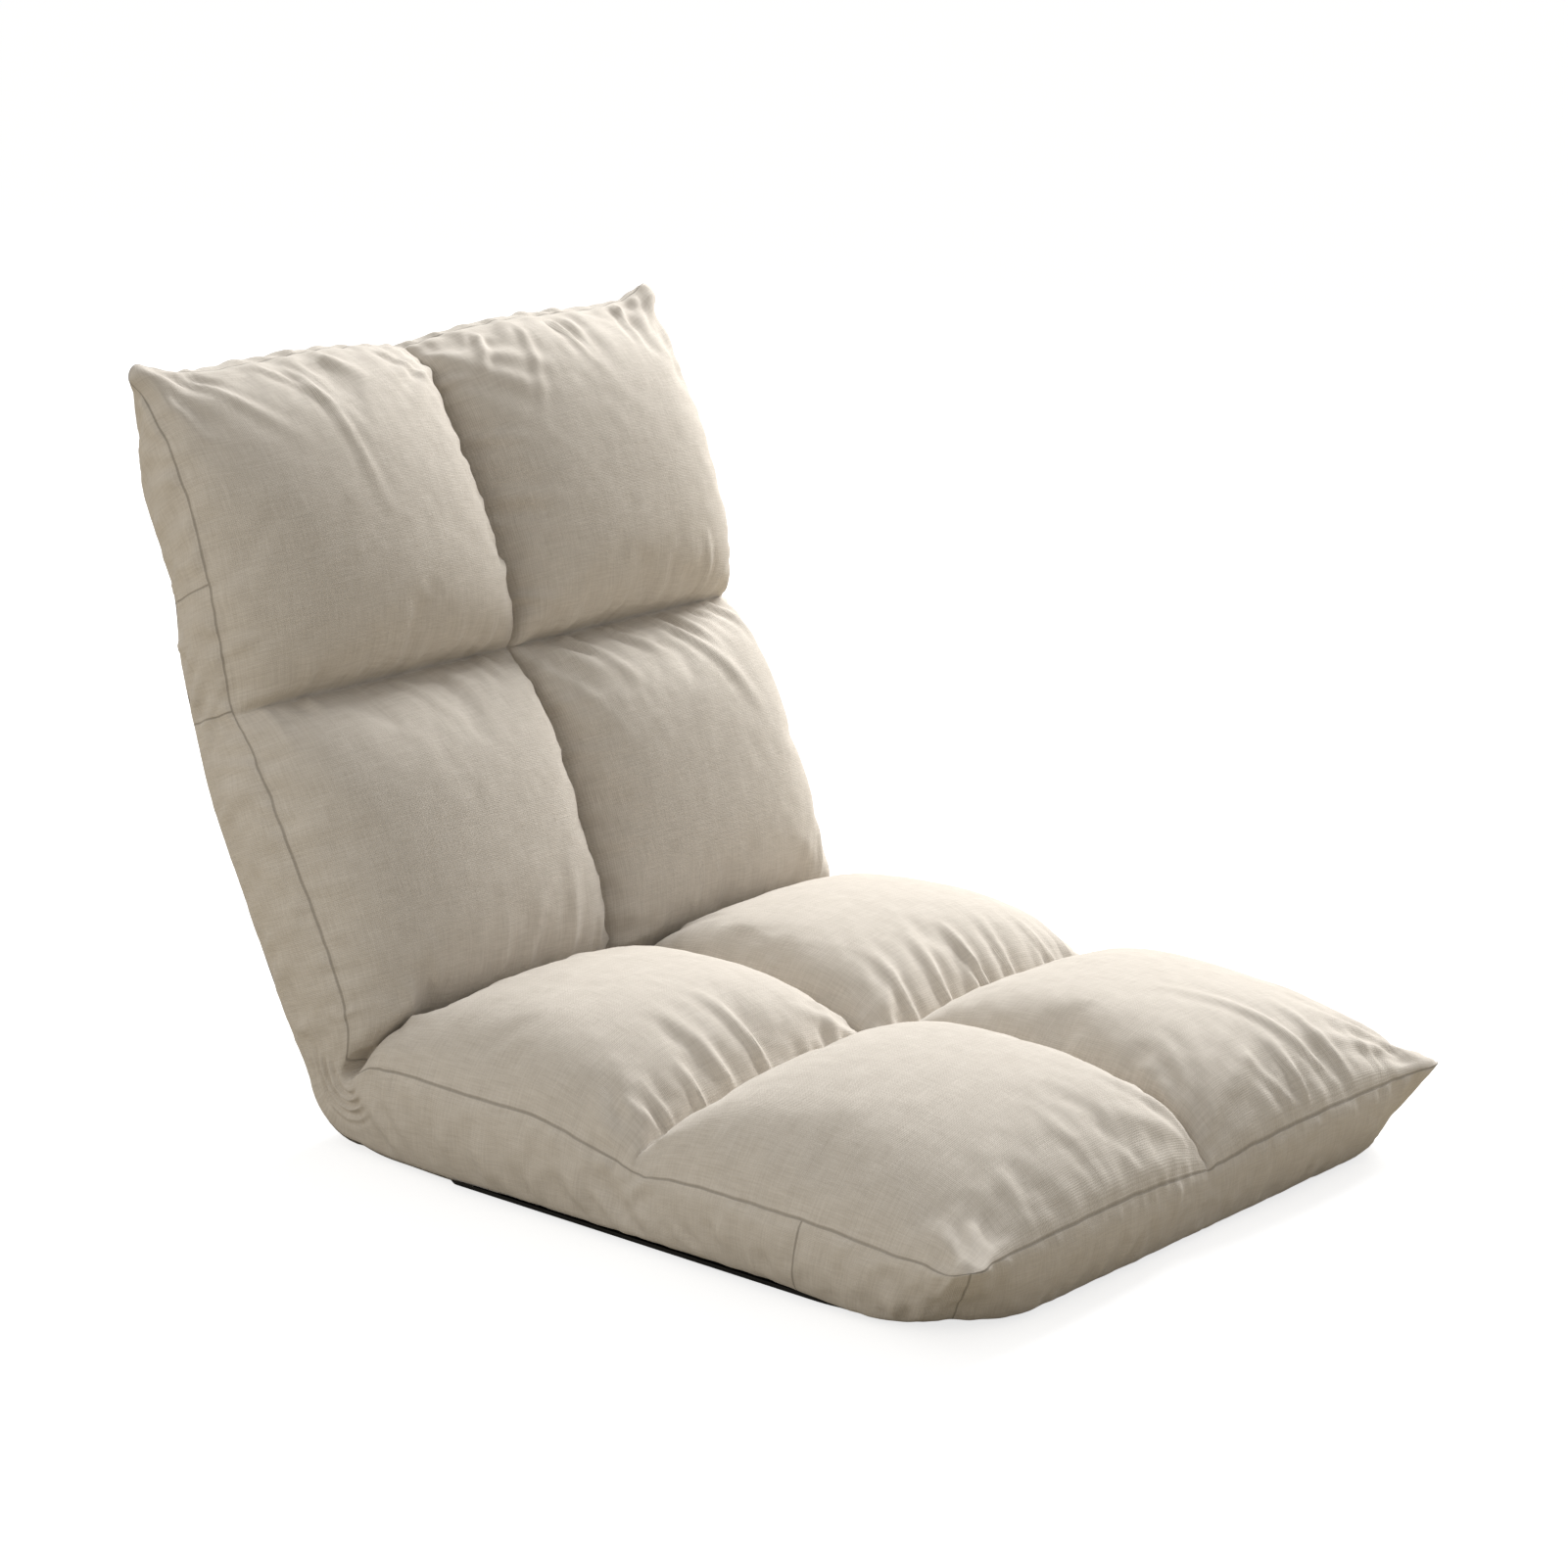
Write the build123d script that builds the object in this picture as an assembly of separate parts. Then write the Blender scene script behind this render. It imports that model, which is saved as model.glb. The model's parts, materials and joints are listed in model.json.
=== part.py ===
from build123d import *
import math
import os

# Folding floor chair, in millimetres and degrees.
# Each half is drawn flat first: x runs across the chair, y runs away from the hinge axis,
# and h (local Z) rises from the hinge axis to the sitter's side. The half is then set in place.

# Overall sizes of the padded halves
SEAM_WIDTH = 500.0        # across the chair, from seam to seam
SEAT_LENGTH = 527.0       # hinge axis to the front seam
BACK_LENGTH = 487.0       # hinge axis to the top seam
SEAT_TUFT = 255.0         # hinge axis to the cross tuft of the seat
BACK_TUFT = 251.0         # hinge axis to the cross tuft of the back
AXIS_HEIGHT = 46.0        # hinge axis above the floor
RECLINE = 112.5           # angle between seat and back at rest
BACK_TOP_DEPTH = 24.0     # rear panel behind the hinge plane, at the top of the back

# Pads
PAD_CROWN = 74.0          # top of a pad above the hinge axis
PAD_EDGE = 9.0            # rise of a pad's top edge above its seam, at the seam ends
PAD_SEAM_RISE = 2.0       # upright edge of a pad below its crown
PAD_START = 31.0          # hinge axis to the inner pads
PAD_START_CROWN = 40.0    # height of an inner pad's end beside the fold
PAD_DRAW_IN = 7.0         # how far the side seam is drawn in at a tuft
PAD_GAP = 0.8             # between neighbouring pads
SHOULDER = 34.0           # from a pad's end to where it has most of its height
SHOULDER_SHARE = 0.68     # share of the crown reached at the shoulder
PAD_OUTER_SIDE = 30.0     # width of a pad's rounded side, at the seam
PAD_OUTER_SHARE = 0.66    # share of the section's rise taken by that side
PAD_OUTER_BACK = 75.0     # seam to where the section is nearly full
PAD_INNER_SIDE = 11.0     # width of a pad's steep side, at the middle channel
PAD_INNER_SHARE = 0.60    # share of the section's rise taken by that side
PAD_INNER_BACK = 34.0     # middle channel to where the section is nearly full
PAD_FULL_SHARE = 0.90     # share of the section's rise at these two places
PAD_FULLEST = 100.0       # middle channel to the fullest place

# Cover cloth
CLOTH = 1.5               # base cloth, rear panel and hinge cloth
BOXING = 2.5              # boxing with its lining
LIP = 7.0                 # turned-up side edge of the base cloth and rear panel
BOXING_START = 52.0       # hinge axis to the ends of the side boxing
BULGE = 8.0               # outward bulge of the boxing beside a pad
BULGE_TUFT = 2.0          # the same at a tuft
BULGE_END = 1.0           # the same at a corner
FOOT_DRAW = 8.0           # boxing's foot inside its seam, along the seat and at the fold
BACK_FOOT_DRAW = 20.0     # the same at the top of the back
END_FOOT_DRAW = 13.0      # the same across the front and the top
END_DRAW_IN = 12.0        # how far the front and top seams are drawn in at the middle
SEAM_GAP = 0.3            # between sewn cloth pieces

# Foam sheets
FOAM_END = 16.0           # hinge axis to the foam
FOAM_ROOM = 1.2           # between the foam and the cloth below it
FOAM_INSET = 24.0         # seam to the foam's edge
FOAM_CORNER = 60.0        # radius of the foam's corners

# Tube frames
TUBE = 19.0               # outside diameter
TUBE_WALL = 1.2
TUBE_INSET = 36.0         # seam to the middle of a side tube
TUBE_END_INSET = 44.0     # front or top seam to the middle of the tube
TUBE_BEND = 70.0          # bend radius of the corners
TUBE_START = 48.0         # hinge axis to the tube ends
CROSS_TUBE = 16.0
CROSS_TUBE_AT = 108.0     # hinge axis to the cross tube
WELD_GAP = 0.05

# Webbing
WEB_THICK = 1.5
WEB_WIDTH = 46.0
WEB_COUNT = 4
WEB_FIRST = 160.0         # hinge axis to the first strap
WEB_LAST_INSET = 150.0    # front or top seam to the last strap
WEB_FIT = 0.15

# Hinges
PLATE = 2.0               # plate thickness
PLATE_RADIUS = 25.0
NECK_LENGTH = 42.0        # hinge axis to the end of the plates' neck
NECK_HEIGHT = 22.0
ARM = 6.0                 # notched arm thickness
ARM_HEIGHT = 14.0
SIDE_CLEAR = 0.2          # between the arm or pawl and a plate
TONGUE = 44.0             # length of the plates and arms inside the tubes
TONGUE_CLEAR = 0.3        # between a tongue and the tube's bore
PIVOT = 10.0
PIVOT_HEAD = 18.0
PIVOT_HEAD_THICK = 2.5
RUNNING_CLEAR = 0.05      # radial, at the pivot and the pawl pins
NOTCH_TIP = 22.0          # radius to the tooth tips
NOTCH_ROOT = 18.8         # radius to the tooth roots
NOTCH_PITCH = 22.5        # angle between locking positions
NOTCH_FLAT = 13.0         # angle of a notch's floor, before its slope
NOTCH_COUNT = 5
FLAT_ANGLE = 180.0        # angle between seat and back when laid flat
FREE_ZONE = 85.0          # turn beyond the last notch in which the pawl rides free
PAWL_AT = -65.0           # where the pawl meets the teeth, from the seat's direction
PAWL_TIP_CLEAR = 0.4
PAWL_TIP_TURN = 1.2       # angle between the pawl's tip and the tooth face
PAWL_TIP_WIDE = 11.0      # angle that the pawl's tip spreads over
PAWL_RIM_CLEAR = 1.2      # between the tooth tips and the body of the pawl
PAWL_BACK = 4.0           # depth of the pawl's tip outside the tooth tips
PAWL_REACH = 21.0         # pawl pin to the pawl's tip
PAWL_EYE = 5.0            # radius of the pawl's eye
PAWL_PIN = 5.0
PAWL_LIFT = 10.0          # turn of the pawl from locked to lifted
LOBE = 11.0               # radius of the plates around the pawl pin
LEAF = 0.6
LEAF_GAP = 0.2
LEAF_WRAP = 105.0         # turn of the leaf around the pawl's eye
POST = 3.0
PIN_HEAD = 8.0
PIN_HEAD_THICK = 1.2
RIVET = 5.0
RIVET_HEAD = 9.0
RIVET_HEAD_THICK = 2.0
RIVET_FIT = 0.1
RIVETS_AT = (12.0, 32.0)  # tube end to each rivet
POCKET_CLEAR = 2.0        # around the hinges, in the foam

# Zip in the rear panel
ZIP_AT = 76.0             # hinge axis to the zip
ZIP_INSET = 50.0          # seam to the end of the zip
ZIP_SLOT = 10.0
ZIP_TAPE = 22.0
ZIP_TAPE_THICK = 0.7
ZIP_TAPE_GAP = 0.1
COIL = 4.0
COIL_HEIGHT = 1.3
SLIDER = 9.0
SLIDER_WIDTH = 8.4
SLIDER_PLATE = 1.2
SLIDER_CLEAR = 0.2
BAIL = 1.4                # diameter of the slider's bar
BAIL_RISE = 2.4           # bar's middle above the slider plate
BAIL_POST = 1.0
PULL_EYE = 3.8            # outside diameter of the pull's eye
PULL_BORE_CLEAR = 0.08
PULL_WIDTH = 4.0
PULL_LENGTH = 22.0
PULL_THICK = 1.4
PULL_SIDE_CLEAR = 0.25

# Values that follow from the sizes above
HALF = SEAM_WIDTH / 2
HINGE_Y = SEAT_LENGTH / 2
TUBE_X = HALF - TUBE_INSET
BORE = TUBE / 2 - TUBE_WALL
WEB_TOP = TUBE / 2 + WEB_FIT + WEB_THICK
PAD_FLOOR = WEB_TOP + SEAM_GAP
PAD_SEAM = PAD_FLOOR + PAD_SEAM_RISE
BOX_TOP = PAD_FLOOR - SEAM_GAP
BOX_FOOT = LIP + SEAM_GAP - AXIS_HEIGHT
FOAM_FOOT = CLOTH + FOAM_ROOM - AXIS_HEIGHT
FOAM_TOP = -WEB_TOP - SEAM_GAP
PLATE_IN = ARM / 2 + SIDE_CLEAR
PLATE_OUT = PLATE_IN + PLATE
TONGUE_END = TUBE_START + TONGUE
TURN = FLAT_ANGLE - RECLINE
ZIP_LENGTH = SEAM_WIDTH - 2 * ZIP_INSET

REAR_RISE = (AXIS_HEIGHT - BACK_TOP_DEPTH) / BACK_LENGTH
REAR_TAPER = (BACK_FOOT_DRAW - FOOT_DRAW) / BACK_LENGTH
REAR_SLOPE = math.degrees(math.atan(REAR_RISE))

SEAT = Location((0, HINGE_Y, AXIS_HEIGHT), (0, 0, 180))
BACK = Location((0, HINGE_Y, AXIS_HEIGHT), (TURN, 0, 0))
# The back thins towards its top: its rear panel and zip turn about the panel's lower edge
REAR = BACK * Pos(0, 0, -AXIS_HEIGHT) * Rot(REAR_SLOPE, 0, 0) * Pos(0, 0, AXIS_HEIGHT)
# Sign of x for the sitter's left and right in each flat half
SEAT_SIDES = {"left": -1, "right": 1}
BACK_SIDES = {"left": 1, "right": -1}


def across(y):
    """Plane across the chair at y, drawn in (x, h)."""
    return Plane(origin=(0, y, 0), x_dir=(1, 0, 0), z_dir=(0, -1, 0))


def beside(x):
    """Plane along the chair at x, drawn in (y, h)."""
    return Plane(origin=(x, 0, 0), x_dir=(0, 1, 0), z_dir=(1, 0, 0))


def polar(radius, angle):
    turn = math.radians(angle)
    return (radius * math.cos(turn), radius * math.sin(turn))


def block(x0, x1, y0, y1, h0, h1):
    """Box between two corners."""
    return Pos((x0 + x1) / 2, (y0 + y1) / 2, (h0 + h1) / 2) * Box(x1 - x0, y1 - y0, h1 - h0)


def slab(sketch, x0, x1):
    """Shape drawn in (y, h) and thickened from x0 to x1."""
    return extrude(beside(x0) * sketch, amount=x1 - x0)


def pin(y, h, radius, x0, x1):
    """Round bar along x."""
    return slab(Pos(y, h) * Circle(radius), x0, x1)


def save(shape, node):
    export_step(shape, "parts/" + node + ".step")


# Pads: sections across the chair, with an arched top, lofted from end to end
def pad_section(y, outer, crown):
    """Pad section: flat underside, short upright edges, and a crown that is steeper at the middle channel."""
    inner = PAD_GAP / 2
    rise = crown - PAD_SEAM
    sides = Polyline((inner, PAD_SEAM), (inner, PAD_FLOOR), (outer, PAD_FLOOR), (outer, PAD_SEAM))
    top = Spline(
        (outer, PAD_SEAM),
        (outer - PAD_OUTER_SIDE, PAD_SEAM + rise * PAD_OUTER_SHARE),
        (outer - PAD_OUTER_BACK, PAD_SEAM + rise * PAD_FULL_SHARE),
        (inner + PAD_FULLEST, crown),
        (inner + PAD_INNER_BACK, PAD_SEAM + rise * PAD_FULL_SHARE),
        (inner + PAD_INNER_SIDE, PAD_SEAM + rise * PAD_INNER_SHARE),
        (inner, PAD_SEAM),
    )
    return across(y) * make_face([*sides.edges(), top.edge()])


def pad(start, end, start_crown, end_draw):
    edge = PAD_SEAM + PAD_EDGE
    shoulder = PAD_SEAM + (PAD_CROWN - PAD_SEAM) * SHOULDER_SHARE
    first = shoulder
    if start_crown > edge:
        first = (start_crown + PAD_CROWN) / 2
    corner = HALF - SEAM_GAP
    between = corner - PAD_DRAW_IN / 2
    sections = [
        pad_section(start, corner - PAD_DRAW_IN, start_crown),
        pad_section(start + SHOULDER, between, first),
        pad_section((start + end) / 2, between, PAD_CROWN),
        pad_section(end - SHOULDER, between, shoulder),
        pad_section(end, corner - end_draw, edge),
    ]
    return loft(sections)


def hinge_pocket(side):
    """Room around one hinge, in the flat half, open to the side."""
    inner = TUBE_X - TUBE / 2 - RIVET_HEAD_THICK - POCKET_CLEAR
    near, far = sorted((side * inner, side * HALF))
    low = min(-PLATE_RADIUS, PAWL_CENTRE[1] - LOBE) - POCKET_CLEAR
    end = TONGUE_END + POCKET_CLEAR
    return block(near, far, -end, end, low, PLATE_RADIUS + POCKET_CLEAR)


def half_pads(length, tuft):
    """Inner and outer pad on the +x side of a flat half."""
    inner = pad(PAD_START, tuft - PAD_GAP / 2, PAD_START_CROWN, PAD_DRAW_IN)
    outer = pad(tuft + PAD_GAP / 2, length - SEAM_GAP, PAD_SEAM + PAD_EDGE, 0)
    return inner, outer


def make_pads(half, length, tuft, place, sides, inner_name, outer_name):
    inner, outer = half_pads(length, tuft)
    for name, side in sides.items():
        for row, solid in ((inner_name, inner), (outer_name, outer)):
            shape = solid
            if side < 0:
                shape = mirror(solid, about=Plane.YZ)
            save(place * shape, f"{half}_pad_{row}_{name}")


# Boxing: bulged strips round the edge of each half, drawn in from the seam to the foot
def strip_section(plane, seam, hem, foot, bulge):
    """Strip section on a plane, its outer face running from hem at the foot to seam at the top."""
    middle = (seam + hem) / 2 + bulge
    level = (foot + BOX_TOP) / 2
    outer = ThreePointArc((hem, foot), (middle, level), (seam, BOX_TOP))
    inner = ThreePointArc((seam - BOXING, BOX_TOP), (middle - BOXING, level), (hem - BOXING, foot))
    top = Line((seam, BOX_TOP), (seam - BOXING, BOX_TOP))
    bottom = Line((hem - BOXING, foot), (hem, foot))
    return plane * make_face([outer.edge(), top.edge(), inner.edge(), bottom.edge()])


def side_hem(y, taper):
    """Outer reach of the side boxing's foot and of the cloth under it."""
    return HALF - FOOT_DRAW - taper * y


def end_foot(length, rise):
    """Foot of the front or top boxing."""
    return SEAM_GAP + CLOTH / 2 - AXIS_HEIGHT + rise * length


def leaning_plane(x, y, outward, draw, foot):
    """Plane from the boxing's top edge at (x, y) down to a foot drawn in by draw."""
    high = BOX_TOP - foot
    return Plane(origin=(x, y, BOX_TOP), z_dir=(outward[0] * high, outward[1] * high, -draw))


def side_boxing(length, tuft, rise, taper):
    """Strip along one side; its foot rises by a share of the distance from the hinge."""
    stations = [
        (BOXING_START, FOOT_DRAW, BULGE_END),
        ((BOXING_START + tuft) / 2, PAD_DRAW_IN / 2, BULGE),
        (tuft, PAD_DRAW_IN, BULGE_TUFT),
        ((tuft + length) / 2, PAD_DRAW_IN / 2, BULGE),
        (length, 0, BULGE_END),
    ]
    strip = loft([strip_section(across(y), HALF - draw, side_hem(y, taper), BOX_FOOT + rise * y, bulge)
                  for y, draw, bulge in stations])
    end = leaning_plane(0, length, (0, 1), END_FOOT_DRAW, end_foot(length, rise))
    return split(strip, bisect_by=end, keep=Keep.BOTTOM)


def end_boxing(length, rise, taper):
    """Strip across the front of the seat or the top of the back, between the side strips."""
    stations = [(-HALF, 0, BULGE_END), (-HALF / 2, END_DRAW_IN / 6, BULGE), (0, END_DRAW_IN, BULGE_TUFT),
                (HALF / 2, END_DRAW_IN / 6, BULGE), (HALF, 0, BULGE_END)]
    hem = length - END_FOOT_DRAW
    foot = end_foot(length, rise)
    strip = loft([strip_section(beside(x), length - draw, hem, foot, bulge) for x, draw, bulge in stations])
    reach = HALF - BOXING - SEAM_GAP
    draw = HALF - side_hem(length, taper)
    for side in (-1, 1):
        edge = leaning_plane(side * reach, 0, (side, 0), draw, BOX_FOOT + rise * length)
        strip = split(strip, bisect_by=edge, keep=Keep.BOTTOM)
    return strip


def make_boxing(half, length, tuft, rise, taper, place, sides, end_name):
    strip = side_boxing(length, tuft, rise, taper)
    for name, side in sides.items():
        shape = strip
        if side < 0:
            shape = mirror(strip, about=Plane.YZ)
        save(place * shape, f"{half}_boxing_{name}")
    save(place * end_boxing(length, rise, taper), f"{half}_boxing_{end_name}")


# Flat cloth under the seat and behind the back, with turned-up sides
def flat_cloth(length, rise, taper):
    start = SEAM_GAP + LIP * rise
    end = length - END_FOOT_DRAW - BOXING - SEAM_GAP
    near = side_hem(start, taper)
    far = side_hem(end, taper)
    sheet = Polyline((-near, start), (near, start), (far, end), (-far, end), close=True)
    edge = Polyline((near - BOXING, start), (near, start), (far, end), (far - BOXING, end), close=True)
    lip = extrude(make_face(edge), amount=LIP, dir=(0, 0, 1))
    sheet = extrude(make_face(sheet), amount=CLOTH, dir=(0, 0, 1))
    return Pos(0, 0, -AXIS_HEIGHT) * (sheet + lip + mirror(lip, about=Plane.YZ))


def foam(length, rise):
    reach = HALF - FOAM_INSET
    end = length - FOAM_INSET
    side = Polyline((FOAM_END, FOAM_FOOT + rise * FOAM_END), (end, FOAM_FOOT + rise * end),
                    (end, FOAM_TOP), (FOAM_END, FOAM_TOP), close=True)
    sheet = slab(make_face(side), -reach, reach)
    sheet = fillet(sheet.edges().filter_by(Axis.Z), FOAM_CORNER)
    return sheet - hinge_pocket(-1) - hinge_pocket(1)


# Cloth at the fold, drawn in the seat's (y, h) plane about the hinge axis
def back_point(y, h):
    """Point of the back's (y, h) plane, in the seat's."""
    turn = math.radians(RECLINE)
    return (y * math.cos(turn) + h * math.sin(turn), y * math.sin(turn) - h * math.cos(turn))


def fold_ring(inner, outer):
    arcs = [CenterArc((0, 0), radius, -90, -TURN) for radius in (outer, inner)]
    ends = [Line(arcs[0] @ t, arcs[1] @ t) for t in (0, 1)]
    return make_face([shape.edge() for shape in arcs + ends])


def hinge_cloth():
    wide = HALF - FOOT_DRAW
    inner = wide - BOXING
    skin = slab(fold_ring(AXIS_HEIGHT - CLOTH, AXIS_HEIGHT), -wide, wide)
    edge = fold_ring(AXIS_HEIGHT - LIP, AXIS_HEIGHT)
    return skin + slab(edge, -wide, -inner) + slab(edge, inner, wide)


def crease_gusset(side):
    """Side cloth from the seat's boxing round the hinge to the back's boxing."""
    end = BOXING_START - SEAM_GAP
    radius = -BOX_FOOT
    arc = CenterArc((0, 0), radius, -90, -TURN)
    half_turn = math.radians(RECLINE / 2)
    crease = (BOX_TOP / math.tan(half_turn), BOX_TOP)
    path = Polyline(arc @ 1, back_point(end, BOX_FOOT + REAR_RISE * end), back_point(end, BOX_TOP), crease,
                    (end, BOX_TOP), (end, BOX_FOOT), arc @ 0)
    wide = HALF - FOOT_DRAW
    low, high = sorted((side * (wide - BOXING), side * wide))
    return slab(make_face([arc.edge(), *path.edges()]), low, high)


# Tube frames and webbing
def tube_line(length):
    far = length - TUBE_END_INSET
    return FilletPolyline((-TUBE_X, TUBE_START, 0), (-TUBE_X, far, 0), (TUBE_X, far, 0),
                          (TUBE_X, TUBE_START, 0), radius=TUBE_BEND)


def frame_tube(length):
    line = tube_line(length)
    start = Plane(origin=line @ 0, z_dir=line % 0)
    tube = sweep(start * (Circle(TUBE / 2) - Circle(BORE)), path=line)
    for side in (-1, 1):
        for offset in RIVETS_AT:
            middle = side * TUBE_X
            tube -= pin(TUBE_START + offset, 0, RIVET / 2 + RIVET_FIT, middle - TUBE, middle + TUBE)
    return tube


def cross_tube():
    tube = slab(Pos(CROSS_TUBE_AT, 0) * (Circle(CROSS_TUBE / 2) - Circle(CROSS_TUBE / 2 - TUBE_WALL)),
                -TUBE_X, TUBE_X)
    for side in (-1, 1):
        leg = Pos(side * TUBE_X, CROSS_TUBE_AT, 0) * Rot(90, 0, 0) * Cylinder(TUBE / 2 + WELD_GAP, 4 * TUBE)
        tube -= leg
    return tube


def webbing(length):
    inner_high = TUBE + 2 * WEB_FIT
    inner_wide = 2 * TUBE_X + inner_high
    ring = (SlotOverall(inner_wide + 2 * WEB_THICK, inner_high + 2 * WEB_THICK)
            - SlotOverall(inner_wide, inner_high))
    last = length - WEB_LAST_INSET
    step = (last - WEB_FIRST) / (WEB_COUNT - 1)
    straps = []
    for index in range(WEB_COUNT):
        start = WEB_FIRST + index * step + WEB_WIDTH / 2
        straps.append(extrude(across(start) * ring, amount=WEB_WIDTH))
    return straps


# Hinges
# The pawl pin lies on the tangent through the pawl's tip, so the tip lifts straight out of a notch
PAWL_TIP_AT = PAWL_AT + PAWL_TIP_TURN
PAWL_TIP_MID = (NOTCH_ROOT + NOTCH_TIP) / 2
PAWL_CENTRE = polar(math.hypot(PAWL_TIP_MID, PAWL_REACH),
                    PAWL_TIP_AT + math.degrees(math.atan2(PAWL_REACH, PAWL_TIP_MID)))
TOOTH_FOOT = polar(NOTCH_ROOT + PAWL_TIP_CLEAR, PAWL_TIP_AT)
TOOTH_HEEL = polar(NOTCH_TIP + PAWL_BACK, PAWL_TIP_AT)
TOOTH_NECK = polar(NOTCH_TIP + PAWL_RIM_CLEAR, PAWL_TIP_AT + PAWL_TIP_WIDE)


def tongue_height(half_thickness):
    """Height of a flat tongue that fits the tube's bore."""
    return 2 * math.sqrt((BORE - TONGUE_CLEAR) ** 2 - half_thickness ** 2)


def hinge_plate(side, outer):
    """Seat-side plate of one hinge, with its tongue in the seat tube."""
    high = tongue_height(PLATE_OUT)
    shape = Circle(PLATE_RADIUS) + Pos(NECK_LENGTH / 2, 0) * Rectangle(NECK_LENGTH, NECK_HEIGHT)
    shape += Pos(*PAWL_CENTRE) * Circle(LOBE)
    shape += Pos(TONGUE_END / 2, 0) * Rectangle(TONGUE_END, high)
    shape -= Circle(PIVOT / 2 + RUNNING_CLEAR)
    shape -= Pos(*PAWL_CENTRE) * Circle(PAWL_PIN / 2 + RUNNING_CLEAR)
    shape -= Pos(*post_centre()) * Circle(POST / 2 + RUNNING_CLEAR)
    for offset in RIVETS_AT:
        shape -= Pos(TUBE_START + offset, 0) * Circle(RIVET / 2 + RIVET_FIT)
    outward = side if outer else -side
    low, high_x = sorted((outward * PLATE_IN, outward * PLATE_OUT))
    return slab(shape, side * TUBE_X + low, side * TUBE_X + high_x)


def notch_disc():
    """Toothed disc of the back's arm; the arm points along +y."""
    first = PAWL_AT - FLAT_ANGLE
    disc = Circle(NOTCH_ROOT)
    for index in range(NOTCH_COUNT - 1):
        start = first + index * NOTCH_PITCH
        end = start + NOTCH_PITCH
        tooth = Polyline((0, 0), polar(NOTCH_ROOT, start + NOTCH_FLAT), polar(NOTCH_TIP, end), (0, 0))
        disc += make_face(tooth.edges())
    free_end = first + (NOTCH_COUNT - 1) * NOTCH_PITCH + FREE_ZONE
    rest = first + 360 - free_end
    rim = CenterArc((0, 0), NOTCH_TIP, free_end, rest)
    ends = [Line((0, 0), rim @ 0), Line(rim @ 1, (0, 0))]
    return disc + make_face([rim.edge(), ends[0].edge(), ends[1].edge()])


def notched_arm(side):
    height = min(ARM_HEIGHT, tongue_height(ARM / 2))
    # The back's h turns the other way about the axis than the seat's, so the disc is flipped
    shape = mirror(notch_disc(), about=Plane.XZ) + Pos(TONGUE_END / 2, 0) * Rectangle(TONGUE_END, height)
    shape -= Circle(PIVOT / 2 + RUNNING_CLEAR)
    for offset in RIVETS_AT:
        shape -= Pos(TUBE_START + offset, 0) * Circle(RIVET / 2 + RIVET_FIT)
    return slab(shape, side * TUBE_X - ARM / 2, side * TUBE_X + ARM / 2)


def heel_tangent():
    """Angle, about the pawl pin, of the tangent point from the tooth heel on the far side."""
    dy = TOOTH_HEEL[0] - PAWL_CENTRE[0]
    dh = TOOTH_HEEL[1] - PAWL_CENTRE[1]
    spread = math.degrees(math.acos(PAWL_EYE / math.hypot(dy, dh)))
    return math.degrees(math.atan2(dh, dy)) + spread


def post_centre():
    """Spring post, beside the end of the lifted leaf."""
    reach = PAWL_EYE + 2 * LEAF_GAP + LEAF + POST / 2
    end = polar(reach, heel_tangent() + LEAF_WRAP * 0.9 + PAWL_LIFT)
    return (PAWL_CENTRE[0] + end[0], PAWL_CENTRE[1] + end[1])


def lifted(sketch):
    """Turn a shape drawn at the locked pawl to the lifted one."""
    return Pos(*PAWL_CENTRE) * Rot(0, 0, PAWL_LIFT) * Pos(-PAWL_CENTRE[0], -PAWL_CENTRE[1]) * sketch


def pawl(side):
    """Eye, body outside the teeth and a tip that drops into a notch."""
    eye = Pos(*PAWL_CENTRE) * Circle(PAWL_EYE)
    body = Line(TOOTH_NECK, TOOTH_HEEL)
    tip = Polyline(TOOTH_FOOT, TOOTH_HEEL, TOOTH_NECK, TOOTH_FOOT)
    shape = make_hull([*eye.edges(), body.edge()]) + make_face(tip.edges())
    shape -= Pos(*PAWL_CENTRE) * Circle(PAWL_PIN / 2 + RUNNING_CLEAR)
    return slab(lifted(shape), side * TUBE_X - ARM / 2, side * TUBE_X + ARM / 2)


def leaf_spring(side):
    offset = LEAF_GAP + LEAF / 2
    angle = heel_tangent()
    normal = polar(1, angle)
    start = (TOOTH_HEEL[0] + normal[0] * offset, TOOTH_HEEL[1] + normal[1] * offset)
    bend = CenterArc(PAWL_CENTRE, PAWL_EYE + offset, angle, LEAF_WRAP)
    blade = Line(start, bend @ 0)
    shape = trace(Curve() + [blade, bend], line_width=LEAF)
    return slab(lifted(shape), side * TUBE_X - ARM / 2, side * TUBE_X + ARM / 2)


def headed_pin(y, h, radius, head_radius, head_thick, middle, half_grip):
    bar = pin(y, h, radius, middle - half_grip, middle + half_grip)
    for side in (-1, 1):
        low, high = sorted((side * half_grip, side * (half_grip + head_thick)))
        bar += pin(y, h, head_radius, middle + low, middle + high)
    return bar


def housing_pins():
    """Pawl pins and spring posts of both hinges."""
    pins = []
    for side in (-1, 1):
        middle = side * TUBE_X
        pins.append(headed_pin(*PAWL_CENTRE, PAWL_PIN / 2, PIN_HEAD / 2, PIN_HEAD_THICK, middle, PLATE_OUT))
        pins.append(headed_pin(*post_centre(), POST / 2, POST * 0.8, PIN_HEAD_THICK, middle, PLATE_OUT))
    return pins


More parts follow.
